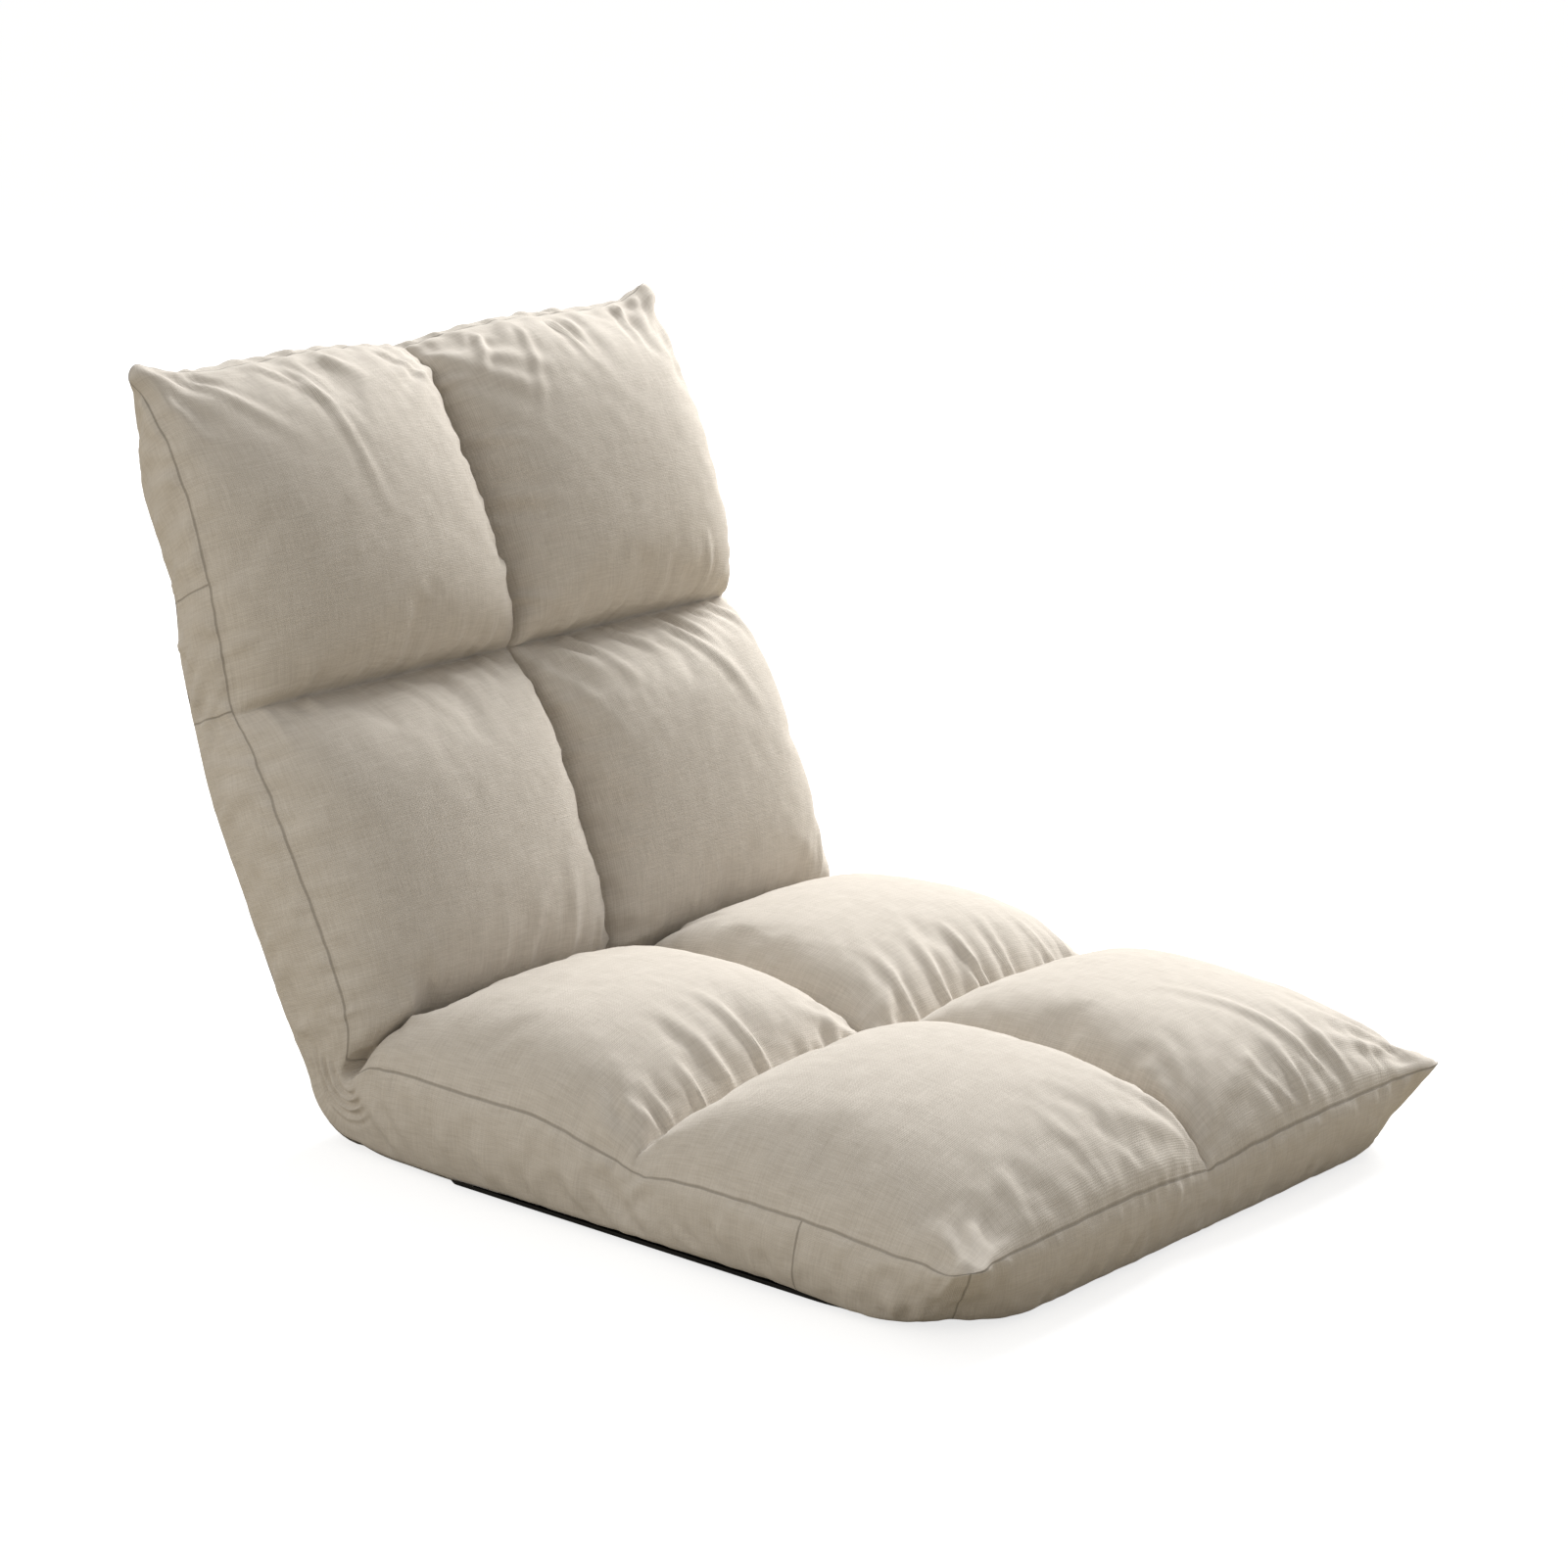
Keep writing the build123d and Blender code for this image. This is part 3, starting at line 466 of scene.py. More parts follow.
def weigh(piece, name, weights):
    """Vertex group with the weights, rounded to hundredths."""
    group = piece.vertex_groups.new(name=name)
    rounded = np.round(weights, 2)
    for value in np.unique(rounded[rounded > 0]):
        group.add([int(i) for i in np.flatnonzero(rounded == value)], float(value), "REPLACE")
    return group.name


def points_of(mesh, what="co"):
    """Points of a mesh, or with "normal" their normals."""
    values = np.empty(len(mesh.vertices) * 3)
    mesh.vertices.foreach_get(what, values)
    return values.reshape(-1, 3)


# %% Stuff the cover
UNEVEN = 0.0003
CLOTH = {
    "quality": 6, "mass": 0.25, "tension_stiffness": 18, "compression_stiffness": 12, "shear_stiffness": 6,
    "bending_stiffness": 0.15, "air_damping": 2, "shrink_min": -0.02, "shrink_max": -0.16,
    "use_pressure": True, "uniform_pressure_force": 4,
}
start = fold_up(flat)
start += np.random.default_rng(SEED).normal(0, UNEVEN, start.shape)


def stuffed(points):
    """Points of the cover after the air pressure has pushed the cloth out."""
    bag = new_piece("bag", points, faces)
    cloth = bag.modifiers.new("stuffing", "CLOTH")
    for name, value in CLOTH.items():
        setattr(cloth.settings, name, value)
    cloth.settings.vertex_group_mass = weigh(bag, "held", pin_weights())
    cloth.settings.vertex_group_shrink = weigh(bag, "spare", spare_cloth())
    cloth.settings.effector_weights.gravity = 0
    cloth.collision_settings.use_collision = False
    cloth.point_cache.frame_end = STUFF_FRAMES
    for step in range(1, STUFF_FRAMES + 1):
        bpy.context.scene.frame_set(step)
    result = bag.evaluated_get(bpy.context.evaluated_depsgraph_get())
    moved = points_of(result.data)
    bpy.data.objects.remove(bag)
    bpy.context.scene.frame_set(1)
    return moved


shape = start.copy()
move = stuffed(start) - start
far = np.linalg.norm(move, axis=1, keepdims=True)
print("stuffing moved points by up to", round(float(far.max()) * 1000, 1), "mm, middle",
      round(float(np.median(far)) * 1000, 1))
shape = start + move * (STUFF_CAP * np.tanh(far / STUFF_CAP) / np.maximum(far, TINY))

# %% [markdown]
# ## Where the halves press together
# Beside the fold the rear pads of the seat and the lower pads of the back lean on each other. The plane
# half way between the halves keeps them apart, and the floor keeps the foot up.

# %% Press the pads against each other
HALF_WAY = (math.pi + TURN) / 2
UP_CREASE = np.array((0.0, math.cos(HALF_WAY), math.sin(HALF_WAY)))
TOWARDS_BACK = np.array((0.0, math.sin(HALF_WAY), -math.cos(HALF_WAY)))
axis = np.array((0.0, AXIS_Y, AXIS_Z))
station_of = flat[:, 1]
PRESS = 0.0008
FLOOR_ROOM = 0.0006


def press_apart(points):
    """Moves points that crossed the half-way plane back to their own side, and lifts points off the floor."""
    beyond = (points - axis) @ TOWARDS_BACK
    above = (points - axis) @ UP_CREASE > 0
    seat_side = above & (station_of < -TINY) & (beyond > -PRESS)
    back_side = above & (station_of > TINY) & (beyond < PRESS)
    moved = points.copy()
    moved[seat_side] -= np.outer(beyond[seat_side] + PRESS, TOWARDS_BACK)
    moved[back_side] -= np.outer(beyond[back_side] - PRESS, TOWARDS_BACK)
    moved[:, 2] = np.maximum(moved[:, 2], FLOOR_ROOM)
    print("pressed", int(seat_side.sum()), "and", int(back_side.sum()), "points apart at the fold")
    return moved


# %% Room for the hinges
crease_room = knots((0, 9), (170, 9), (198, 28), (232, 28), (246, 14), (260, 12))
CREASE_NEAR = 0.04
CREASE_PART = 0.03


def clear_hinges(points):
    """Lifts the bottom of the crease over the two hinge plates inside it."""
    arm = points - axis
    radius = np.hypot(arm[:, 1], arm[:, 2])
    room = crease_room(np.abs(points[:, 0]))
    low = np.zeros(len(points), bool)
    low[top_index[np.abs(STATIONS) < CREASE_NEAR].ravel()] = True
    low &= radius < room
    turn = np.pi - HALF_WAY + np.where(station_of < 0, -CREASE_PART, CREASE_PART)[low]
    moved = points.copy()
    moved[low, 1] = AXIS_Y - room[low] * np.cos(turn)
    moved[low, 2] = AXIS_Z + room[low] * np.sin(turn)
    print("lifted", int(low.sum()), "points over the hinges")
    return moved


shape = clear_hinges(press_apart(shape))

# %% [markdown]
# ## Finishing the cover
# The stuffed points become one closed bag: the top, the boxing, and a plain underside that the rear cloth
# and the base cloth hide. The sewn lines are drawn in a little and kept sharp, and one level of subdivision
# smooths the rest. The flat cutting layout is kept as a UV map in metres, so the weave runs along the cloth
# as it was cut.

# %% Underside and sewn lines
def underside():
    """Faces that close the bag between its feet."""
    left, right = side_index[-1][-1], side_index[1][-1]
    strips = np.stack([left[:-1], left[1:], right[1:], right[:-1]], 1).tolist()
    return strips + [end_index[-1][-1][::-1].tolist(), end_index[1][-1].tolist()]


def sewn_lines():
    """Rows of points along the seams and the stitched channels."""
    return [index[sign][0] for index in (side_index, end_index) for sign in (-1, 1)] + channels


# %% Helpers for meshes
def pick(piece):
    """Makes one piece the active and only selected one."""
    bpy.ops.object.select_all(action="DESELECT")
    bpy.context.view_layer.objects.active = piece
    piece.select_set(True)


def apply_modifier(piece, kind, **values):
    """Adds a modifier, sets it and applies it."""
    pick(piece)
    modifier = piece.modifiers.new(kind.lower(), kind)
    for name, value in values.items():
        setattr(modifier, name, value)
    bpy.ops.object.modifier_apply(modifier=modifier.name)


def set_points(mesh, points):
    mesh.vertices.foreach_set("co", np.asarray(points, float).ravel())
    mesh.update()


def add_cut(piece, places):
    """UV map of the flat cut cloth, in metres, one place for each face corner."""
    cut = piece.data.uv_layers.new(name="cut")
    cut.data.foreach_set("uv", np.asarray(places, float).ravel())


# %% Close and smooth the bag
SEAM_DRAW = 0.0014
SEAM_SHARP = 0.8
closing = underside()
cover = new_piece("cover", shape, faces.tolist() + closing)
add_cut(cover, np.concatenate([layout.reshape(-1, 2), np.zeros((sum(len(face) for face in closing), 2))]))
sewn = np.unique(np.concatenate(sewn_lines()[:4]))
drawn = points_of(cover.data)
drawn[sewn] -= SEAM_DRAW * points_of(cover.data, "normal")[sewn]
set_points(cover.data, drawn)
sewn_pairs = set()
for row in sewn_lines():
    sewn_pairs |= {tuple(sorted(pair)) for pair in zip(row[:-1].tolist(), row[1:].tolist())}
on_seam = [tuple(sorted(edge.vertices)) in sewn_pairs for edge in cover.data.edges]
sharp = cover.data.attributes.new("crease_edge", "FLOAT", "EDGE")
sharp.data.foreach_set("value", SEAM_SHARP * np.array(on_seam))
apply_modifier(cover, "SUBSURF", levels=1, render_levels=1)
cover.data.shade_smooth()
print("cover has", len(cover.data.polygons), "faces")

# %% [markdown]
# ## Folds beside the fold
# At each end of the crease the side cloth has nowhere to go. It folds in on itself in nested loops round a
# dark hollow. The loops are pressed into the finished bag around the end of the crease.

# %% Hollow and loops at the ends of the crease
HOLLOW_RISE = 0.0195
HOLLOW = axis + HOLLOW_RISE * UP_CREASE
HOLLOW_LONG, HOLLOW_WIDE, HOLLOW_DEEP = 0.0115, 0.0050, 0.0180
LOOP_PITCH = 0.0072
LOOP_DEEP = 0.0020
LOOP_DROP = 0.007
LOOP_FIRST, LOOP_MIDDLE, LOOP_SPREAD = 0.006, 0.020, 0.014
LOOP_WAVER = 0.0012
LOOP_EDGE, LOOP_FADE = 0.1, 0.6
PRESS_FROM, PRESS_RUN, PRESS_LIMIT = 0.2235, 0.010, 0.2245
LOOP_NEAR, LOOP_SIDE = 0.045, 0.222


def refine(piece, chosen, cuts):
    """Divides the faces between the chosen points."""
    pick(piece)
    bpy.ops.object.mode_set(mode="EDIT")
    bpy.ops.mesh.select_mode(type="VERT")
    bpy.ops.mesh.select_all(action="DESELECT")
    bpy.ops.object.mode_set(mode="OBJECT")
    piece.data.vertices.foreach_set("select", chosen)
    bpy.ops.object.mode_set(mode="EDIT")
    bpy.ops.mesh.subdivide(number_cuts=cuts)
    bpy.ops.object.mode_set(mode="OBJECT")


def press_loops(points):
    """Presses the hollow and the loops under it inwards, but not into the hinge plates."""
    arm = points - HOLLOW
    up, over = arm @ UP_CREASE, arm @ TOWARDS_BACK
    hole = HOLLOW_DEEP * np.exp(-((up / HOLLOW_LONG) ** 2 + (over / HOLLOW_WIDE) ** 2) ** 3)
    out = np.hypot(up + LOOP_DROP, over)
    down = np.clip((-(up + LOOP_DROP) / np.maximum(out, TINY) - LOOP_EDGE) / LOOP_FADE, 0, 1)
    waver = out + LOOP_WAVER * np.sin(4 * np.arctan2(over, -up))
    loops = LOOP_DEEP * np.cos(2 * np.pi * (waver - LOOP_FIRST) / LOOP_PITCH)
    loops *= near(out - LOOP_MIDDLE, LOOP_SPREAD) * down
    reach = np.abs(points[:, 0])
    pressed = reach - np.clip((reach - PRESS_FROM) / PRESS_RUN, 0, 1) * (hole + loops)
    pressed = np.maximum(pressed, np.minimum(reach, PRESS_LIMIT))
    moved = points.copy()
    moved[:, 0] = np.sign(points[:, 0]) * pressed
    return moved


before = points_of(cover.data)
by_crease = np.hypot(before[:, 1] - HOLLOW[1], before[:, 2] - HOLLOW[2]) < LOOP_NEAR
by_crease &= np.abs(before[:, 0]) > LOOP_SIDE
refine(cover, by_crease, 2)
set_points(cover.data, press_loops(points_of(cover.data)))
print("points near the ends of the crease:", int(by_crease.sum()))

# %% [markdown]
# ## Puckers
# Beside a stitched line the cloth gathers in short folds. The simulation makes the broad ones. The fine
# ones are smaller than its points, so they are added here. A comb is a row of folds that stand on a line,
# and a fan spreads from a point where lines meet. Each fold is a low ridge with a hollow on both sides. It
# is drawn in the cutting layout, and the finished points move along their normals.

# %% Combs and fans
chance = np.random.default_rng(SEED)
COMB_RAMP, FAN_RAMP = 0.12, 0.40


def comb(start, end, toward, count, length, height, wide=4.4, ramp=COMB_RAMP):
    """Folds on a line from start to end, running towards a direction; all lengths in millimetres."""
    start, end = np.array(start, float) / 1000, np.array(end, float) / 1000
    toward = np.array(toward, float)
    made = []
    for place in range(count):
        share = (place + chance.uniform(0.1, 0.9)) / count
        run = toward / np.linalg.norm(toward) + chance.normal(0, 0.22, 2)
        foot = start + (end - start) * share
        run = run * (length / 1000) * chance.uniform(0.5, 1.3)
        tall = height / 1000 * chance.uniform(0.45, 1.25)
        made.append((foot, foot + run, tall, wide / 1000 * chance.uniform(0.75, 1.35), ramp))
    return made


def fan(centre, first, last, count, length, height, wide=5.2):
    """Folds in millimetres that spread from a point between two angles, in degrees from across."""
    centre = np.array(centre, float) / 1000
    made = []
    for place in range(count):
        turn = math.radians(first + (last - first) * (place + chance.uniform(0.2, 0.8)) / count)
        run = np.array((math.cos(turn), math.sin(turn))) * (length / 1000) * chance.uniform(0.6, 1.2)
        tall = height / 1000 * chance.uniform(0.6, 1.2)
        made.append((centre, centre + run, tall, wide / 1000 * chance.uniform(0.8, 1.3), FAN_RAMP))
    return made


# %% Folds of the seat
def seat_folds():
    """Folds beside the channels and seams of the seat."""
    folds = comb((15, -255), (240, -256), (0.2, 1), 9, 56, 4.2)
    folds += comb((-240, -256), (-15, -255), (-0.2, 1), 7, 56, 3.4)
    folds += comb((20, -255), (240, -256), (0.1, -1), 6, 36, 1.8)
    folds += comb((-240, -256), (-20, -255), (0, -1), 5, 30, 1.4)
    folds += fan((0, -255), 25, 155, 7, 70, 3.5) + fan((-244, -257), 15, 95, 5, 60, 3.5)
    folds += fan((244, -257), 85, 165, 5, 60, 3.5)
    for side in (-1, 1):
        folds += comb((0, -30), (0, -235), (side, 0.1), 8, 30, 1.8)
        folds += comb((0, -275), (0, -505), (side, 0.1), 8, 34, 2)
    folds += fan((0, -519), 12, 80, 5, 95, 4.8) + fan((0, -519), 100, 168, 4, 80, 3.6)
    folds += comb((60, -524), (235, -526), (-0.3, 1), 6, 75, 3.6)
    folds += comb((-235, -526), (-60, -524), (0.1, 1), 4, 60, 1.8)
    folds += fan((246, -522), 105, 170, 4, 100, 4)
    folds += fan((-246, -522), 20, 85, 4, 60, 2.6)
    return folds


# %% Folds of the back
def back_folds():
    """Folds beside the channels and seams of the back, and on both sides of the crease."""
    folds = comb((12, 251), (244, 252), (0.5, -1), 9, 60, 3.8)
    folds += comb((-238, 252), (-12, 251), (-0.1, -1), 7, 40, 2.2)
    folds += comb((20, 251), (240, 252), (0.1, 1), 7, 36, 2.2)
    folds += comb((-240, 252), (-20, 251), (0, 1), 7, 32, 1.8)
    folds += fan((0, 251), -82, 8, 7, 75, 4.2) + fan((0, 251), 20, 80, 4, 50, 2.6)
    for side in (-1, 1):
        folds += comb((0, 30), (0, 235), (side, -0.25), 9, 30, 1.8)
        folds += comb((0, 270), (0, 460), (side, -0.15), 8, 32, 2)
    folds += comb((30, 476), (235, 486), (-0.3, -1), 6, 60, 3)
    folds += comb((-235, 486), (-30, 476), (0.7, -1), 5, 75, 2.8)
    folds += fan((0, 474), -88, -18, 4, 95, 5, 7.5)
    folds += fan((0, 474), -160, -100, 4, 70, 3.2)
    folds += fan((246, 482), 190, 262, 6, 75, 3.8)
    folds += fan((-246, 482), -82, -12, 5, 65, 3.4)
    folds += comb((-235, 35), (235, 35), (0, 1), 15, 45, 2)
    folds += comb((-235, -35), (235, -35), (0, -1), 13, 36, 1.6)
    return folds


# %% Folds of the boxing
def boxing_folds():
    """Gathers along the seam and the foot of the boxing."""
    folds = []
    for side in (-1, 1):
        edge, foot = side * 250, side * 304
        for low, high, count in ((-515, -30, 24), (30, 475, 22)):
            folds += comb((edge, low), (edge, high), (-side, 0), count, 22, 1.3, 4.5)
            folds += comb((edge, low), (edge, high), (side, 0.3), count, 36, 1.8, 4.8)
            folds += comb((foot, low), (foot, high), (-side, 0.6), count, 52, 3.8, 5.6, FAN_RAMP)
    for edge, foot, out in ((-527, -581, -1), (487, 541, 1)):
        folds += comb((-240, edge), (240, edge), (0, out), 24, 32, 1.4, 5)
        folds += comb((-240, foot), (240, foot), (0, -out), 22, 34, 1.5, 6)
    return folds


# %% Heights of the folds
RIDGE_WIDE, RIDGE_GROWS = 0.8, 0.5
DIP_SHARE, DIP_OFF = 0.5, 1.7
FADE = 0.8


def places_of(mesh):
    """Place of each point in the cutting layout."""
    corners = np.empty(len(mesh.loops), int)
    mesh.loops.foreach_get("vertex_index", corners)
    places = np.empty(len(mesh.loops) * 2)
    mesh.uv_layers["cut"].data.foreach_get("uv", places)
    found = np.zeros((len(mesh.vertices), 2))
    found[corners] = places.reshape(-1, 2)
    return found


def fold_heights(places, folds):
    """Height of all the folds at each place; a fold widens and fades along its run."""
    height = np.zeros(len(places))
    for start, end, tall, wide, ramp in folds:
        run = end - start
        length = np.linalg.norm(run)
        run /= length
        arm = places - start
        along = arm @ run / length
        here = np.flatnonzero((along > 0) & (along < 1))
        along = along[here]
        off = np.abs(arm[here] @ np.array((-run[1], run[0]))) / (wide * (RIDGE_WIDE + RIDGE_GROWS * along))
        profile = np.exp(-off ** 2) - DIP_SHARE * np.exp(-(off - DIP_OFF) ** 2)
        height[here] += tall * profile * np.minimum(1, along / ramp) * (1 - along) ** FADE
    return height


folds = seat_folds() + back_folds() + boxing_folds()
cut_places = places_of(cover.data)
puckers = fold_heights(cut_places, folds)
print(len(folds), "folds, the highest", round(float(puckers.max()) * 1000, 1), "mm")

# %% Press the folds in, and keep room for the frame
FRAME_TOP = 0.0128
FRAME_HALF, FRAME_FRONT, FRAME_BACK = 0.229, -0.50, 0.46
FRAME_CREASE = 0.06


def clear_frame(points, places):
    """Keeps the stitched lines above the tubes and the webbing."""
    turn = np.where(places[:, 1] > 0, TURN, 0)
    rise = -(points[:, 1] - AXIS_Y) * np.sin(turn) + (points[:, 2] - AXIS_Z) * np.cos(turn)
    covered = (np.abs(places[:, 0]) < FRAME_HALF) & (np.abs(places[:, 1]) > FRAME_CREASE)
    covered &= (places[:, 1] > FRAME_FRONT) & (places[:, 1] < FRAME_BACK)
    lift = np.where(covered, np.maximum(0, FRAME_TOP - rise), 0)
    moved = points.copy()
    moved[:, 1] -= lift * np.sin(turn)
    moved[:, 2] += lift * np.cos(turn)
    print("lifted", int((lift > 0).sum()), "points over the frame")
    return moved


puckered = points_of(cover.data) + points_of(cover.data, "normal") * puckers[:, None]
set_points(cover.data, clear_frame(puckered, cut_places))

# %% [markdown]
# ## Rear cloth
# One plain piece of the same cloth covers the back from behind, turns round the outside of the fold, and
# ends under the seat. It is stretched, so it is built as a grid that bellies a little between its edges.
# A slot is left for the zip.

# %% Rows of the rear cloth
ZIP_AT = 0.076
ZIP_HALF = 0.200
ZIP_SLOT = 0.005
HEM_IN = 0.003
HEM_BELOW = 0.002
CORNER_SHARE = 0.7
REAR_START = -0.115
REAR_SQUARE = 26
REAR_ROOM, UNDER_ROOM = 0.0004, 0.0008
TOP_RUN = 0.030
OUTER_LEAST = 0.002
REAR_ROWS = np.concatenate([
    np.linspace(REAR_START, -CREASE, 14, endpoint=False),
    np.linspace(-CREASE, CREASE, 10, endpoint=False),
    np.linspace(CREASE, ZIP_AT - ZIP_SLOT, 8, endpoint=False),
    np.linspace(ZIP_AT - ZIP_SLOT, ZIP_AT + ZIP_SLOT, 3),
    np.linspace(ZIP_AT + ZIP_SLOT, TOP_FOOT - HEM_IN, 52)[1:],
])


def drawn_in(beyond):
    """How far a rounded corner draws the edge in, at a share of the corner."""
    return CORNER * (1 - math.sqrt(max(0.0, 1 - min(beyond, 1) ** 2)))


def both_sides(half):
    """Places from edge to edge, from those of one half."""
    return np.concatenate([-half[:0:-1], half])


def rear_columns(along):
    """Places across one row, with columns at the ends of the zip, and the rise of its edge."""
    reach = float(foot_reach(along)) - HEM_IN
    rise = float(foot_rise(along)) - HEM_BELOW
    beyond = (along - (TOP_FOOT - CORNER)) / CORNER
    if beyond > 0:
        reach -= drawn_in(beyond)
        rise += CORNER_LIFT * min(beyond / CORNER_SHARE, 1) ** 2
    outer = max(reach, ZIP_HALF + OUTER_LEAST) - ZIP_HALF
    outer = ZIP_HALF + outer * np.sin(np.linspace(0, np.pi / 2, 13)[1:])
    half = np.concatenate([np.linspace(0, ZIP_HALF, 26), outer])
    half = half * min(1.0, reach / half[-1])
    return both_sides(half), rise


def rear_points():
    """Grid of the rear cloth: nearly flat in the middle, rising to the boxing's foot at the edge."""
    rows = []
    for along in REAR_ROWS:
        across, edge = rear_columns(along)
        share = np.abs(across) / np.abs(across).max()
        middle = cloth_rise(along) + (REAR_ROOM if along > 0 else UNDER_ROOM)
        to_top = np.clip((along - REAR_ROWS[-1] + TOP_RUN) / TOP_RUN, 0, 1)
        drop = (1 - share ** REAR_SQUARE) * (1 - to_top ** 2)
        rows.append(np.stack([across, np.full(len(across), along), edge + (middle - edge) * drop], -1))
    return np.array(rows)


# %% Rear cloth
def flat_cloth(name, grid, opening=None, cut_shift=(0, 0)):
    """Piece of cloth from a grid of points, without the faces whose middles lie in an opening."""
    index = np.arange(grid.shape[0] * grid.shape[1]).reshape(grid.shape[:2])
    corners, cut = quads(index, False), quads(grid[..., :2], False)
    if opening is not None:
        shown = ~opening(cut.mean(1))
        corners, cut = corners[shown], cut[shown]
    piece = new_piece(name, fold_up(grid.reshape(-1, 3)), corners)
    add_cut(piece, cut.reshape(-1, 2) + cut_shift)
    piece.data.shade_smooth()
    print(name, "has", len(piece.data.polygons), "faces")
    return piece


def zip_opening(middles):
    """Which faces lie in the slot for the zip."""
    return (np.abs(middles[:, 1] - ZIP_AT) < ZIP_SLOT) & (np.abs(middles[:, 0]) < ZIP_HALF)


rear_cloth = flat_cloth("rear_cloth", rear_points(), zip_opening, cut_shift=(0, 2.0))

# %% [markdown]
# ## Base cloth
# Under the seat lies a black non-woven cloth that hides the foam. Its turned-up edge shows as a thin dark
# line under the side of the seat.

# %% Base cloth
BASE_REACH = 0.2435
BASE_START, BASE_END = -0.100, -0.475
BASE_ROOM = 0.0002
LIP_TALL, LIP_WIDE = 0.0058, 0.006
EDGE_WIDE = 0.010
LIP_FROM, LIP_GROWS, LIP_CURL = 0.04, 0.03, 1.5


def base_points():
    """Grid of the base cloth, with a lip that grows from nothing behind the front corners."""
    rows = []
    for along in np.linspace(BASE_END, BASE_START, 48):
        beyond = (-along - (-BASE_END - CORNER)) / CORNER
        reach = BASE_REACH - (drawn_in(beyond) if beyond > 0 else 0.0)
        inner = np.linspace(0, max(reach - EDGE_WIDE, EDGE_WIDE), 20)
        across = both_sides(np.concatenate([inner, np.linspace(inner[-1], reach, 6)[1:]]))
        lip = np.clip((np.abs(across) - (reach - LIP_WIDE)) / LIP_WIDE, 0, 1)
        shown = np.clip((along - BASE_END - LIP_FROM) / LIP_GROWS, 0, 1)
        rise = -AXIS_Z + BASE_ROOM + LIP_TALL * shown * lip ** LIP_CURL
        rows.append(np.stack([across, np.full(len(across), along), rise], -1))
    return np.array(rows)


base_cloth = flat_cloth("seat_underside", base_points())

# %% [markdown]
# ## Zip
# The cover comes off through a zip low on the rear cloth. Its tape, slider and pull are the CAD model's.
# One turn of the coil is a small bevelled block, set askew as the wound thread is, and repeated along the
# tape. A stop closes each end.

# %% Coil and end stops
COIL_PITCH = 0.0014
COIL_RISE = -0.04170
COIL_TURN, COIL_BEVEL, COIL_SKEW = (0.0010, 0.0041, 0.0014), 0.00025, math.radians(14)
STOP_AT = 0.1980
STOP_SIZE, STOP_BEVEL = (0.0028, 0.0050, 0.0020), 0.0004
STOP_ROOM = 0.002


def small_block(name, size, bevel, skew):
    """Bevelled block at the origin, turned a little about its upright axis."""
    bpy.ops.object.select_all(action="DESELECT")
    bpy.ops.mesh.primitive_cube_add(size=1)
    block = bpy.context.object
    block.name = name
    bpy.ops.object.mode_set(mode="EDIT")
    bpy.ops.mesh.select_all(action="SELECT")
    bpy.ops.transform.resize(value=size)
    bpy.ops.mesh.bevel(offset=bevel, segments=1, affect="EDGES")
    bpy.ops.transform.rotate(value=skew, orient_axis="Z", center_override=(0, 0, 0))
    bpy.ops.object.mode_set(mode="OBJECT")
    return block


def set_on_zip(piece, across):
    """Moves a block's points from the origin to the zip on the rear of the back."""
    points = points_of(piece.data)
    rise = COIL_RISE + points[:, 2] + points[:, 1] * REAR_RISE
    set_points(piece.data, fold_up(np.stack([points[:, 0] + across, points[:, 1] + ZIP_AT, rise], 1)))


zip_coil = small_block("zip_coil", COIL_TURN, COIL_BEVEL, COIL_SKEW)
coil_count = int(2 * (STOP_AT - STOP_ROOM) / COIL_PITCH)
apply_modifier(zip_coil, "ARRAY", count=coil_count, use_relative_offset=False, use_constant_offset=True,
               constant_offset_displace=(COIL_PITCH, 0, 0))
set_on_zip(zip_coil, -COIL_PITCH * (coil_count - 1) / 2)
zip_stops = []
for side, side_name in ((1, "left"), (-1, "right")):
    stop = small_block("zip_stop_" + side_name, STOP_SIZE, STOP_BEVEL, 0.0)
    set_on_zip(stop, side * STOP_AT)
    zip_stops.append(stop)
print("zip coil has", coil_count, "turns")

# %% [markdown]
# ## Finishes
# Plain linen and cotton cloth: threads over and under, with thicker threads here and there. The weave is a
# node group that more than one cloth uses. On the linen it reads the cutting layout, so it never slides
# over the folds.

# %% Node helpers
def new_group(name, size_name, outputs):
    """Node group that takes a place and one size, and gives the named values."""
    group = bpy.data.node_groups.new(name, "ShaderNodeTree")
    group.interface.new_socket("Vector", in_out="INPUT", socket_type="NodeSocketVector")
    group.interface.new_socket(size_name, in_out="INPUT", socket_type="NodeSocketFloat")
    for label in outputs:
        group.interface.new_socket(label, in_out="OUTPUT", socket_type="NodeSocketFloat")
    return group, group.nodes.new("NodeGroupInput"), group.nodes.new("NodeGroupOutput")


def add_node(tree, kind, links=None, **values):
    """Node with its properties and inputs set; an input may be a value or another node's socket."""
    node = tree.nodes.new(kind)
    for name, value in values.items():
        setattr(node, name, value)
    for name, value in (links or {}).items():
        socket = node.inputs[name]
        if isinstance(value, bpy.types.NodeSocket):
            tree.links.new(value, socket)
        else:
            socket.default_value = value
    return node


def maths(tree, operation, *values):
    """Result of one sum on values or sockets."""
    return add_node(tree, "ShaderNodeMath", dict(enumerate(values)), operation=operation).outputs[0]


def noise(tree, place, scale, detail):
    links = {"Vector": place, "Scale": scale, "Detail": detail}
    return add_node(tree, "ShaderNodeTexNoise", links).outputs[0]


def mix_colours(tree, share, first, second):
    node = add_node(tree, "ShaderNodeMix", {0: share, 6: first, 7: second}, data_type="RGBA")
    return node.outputs[2]


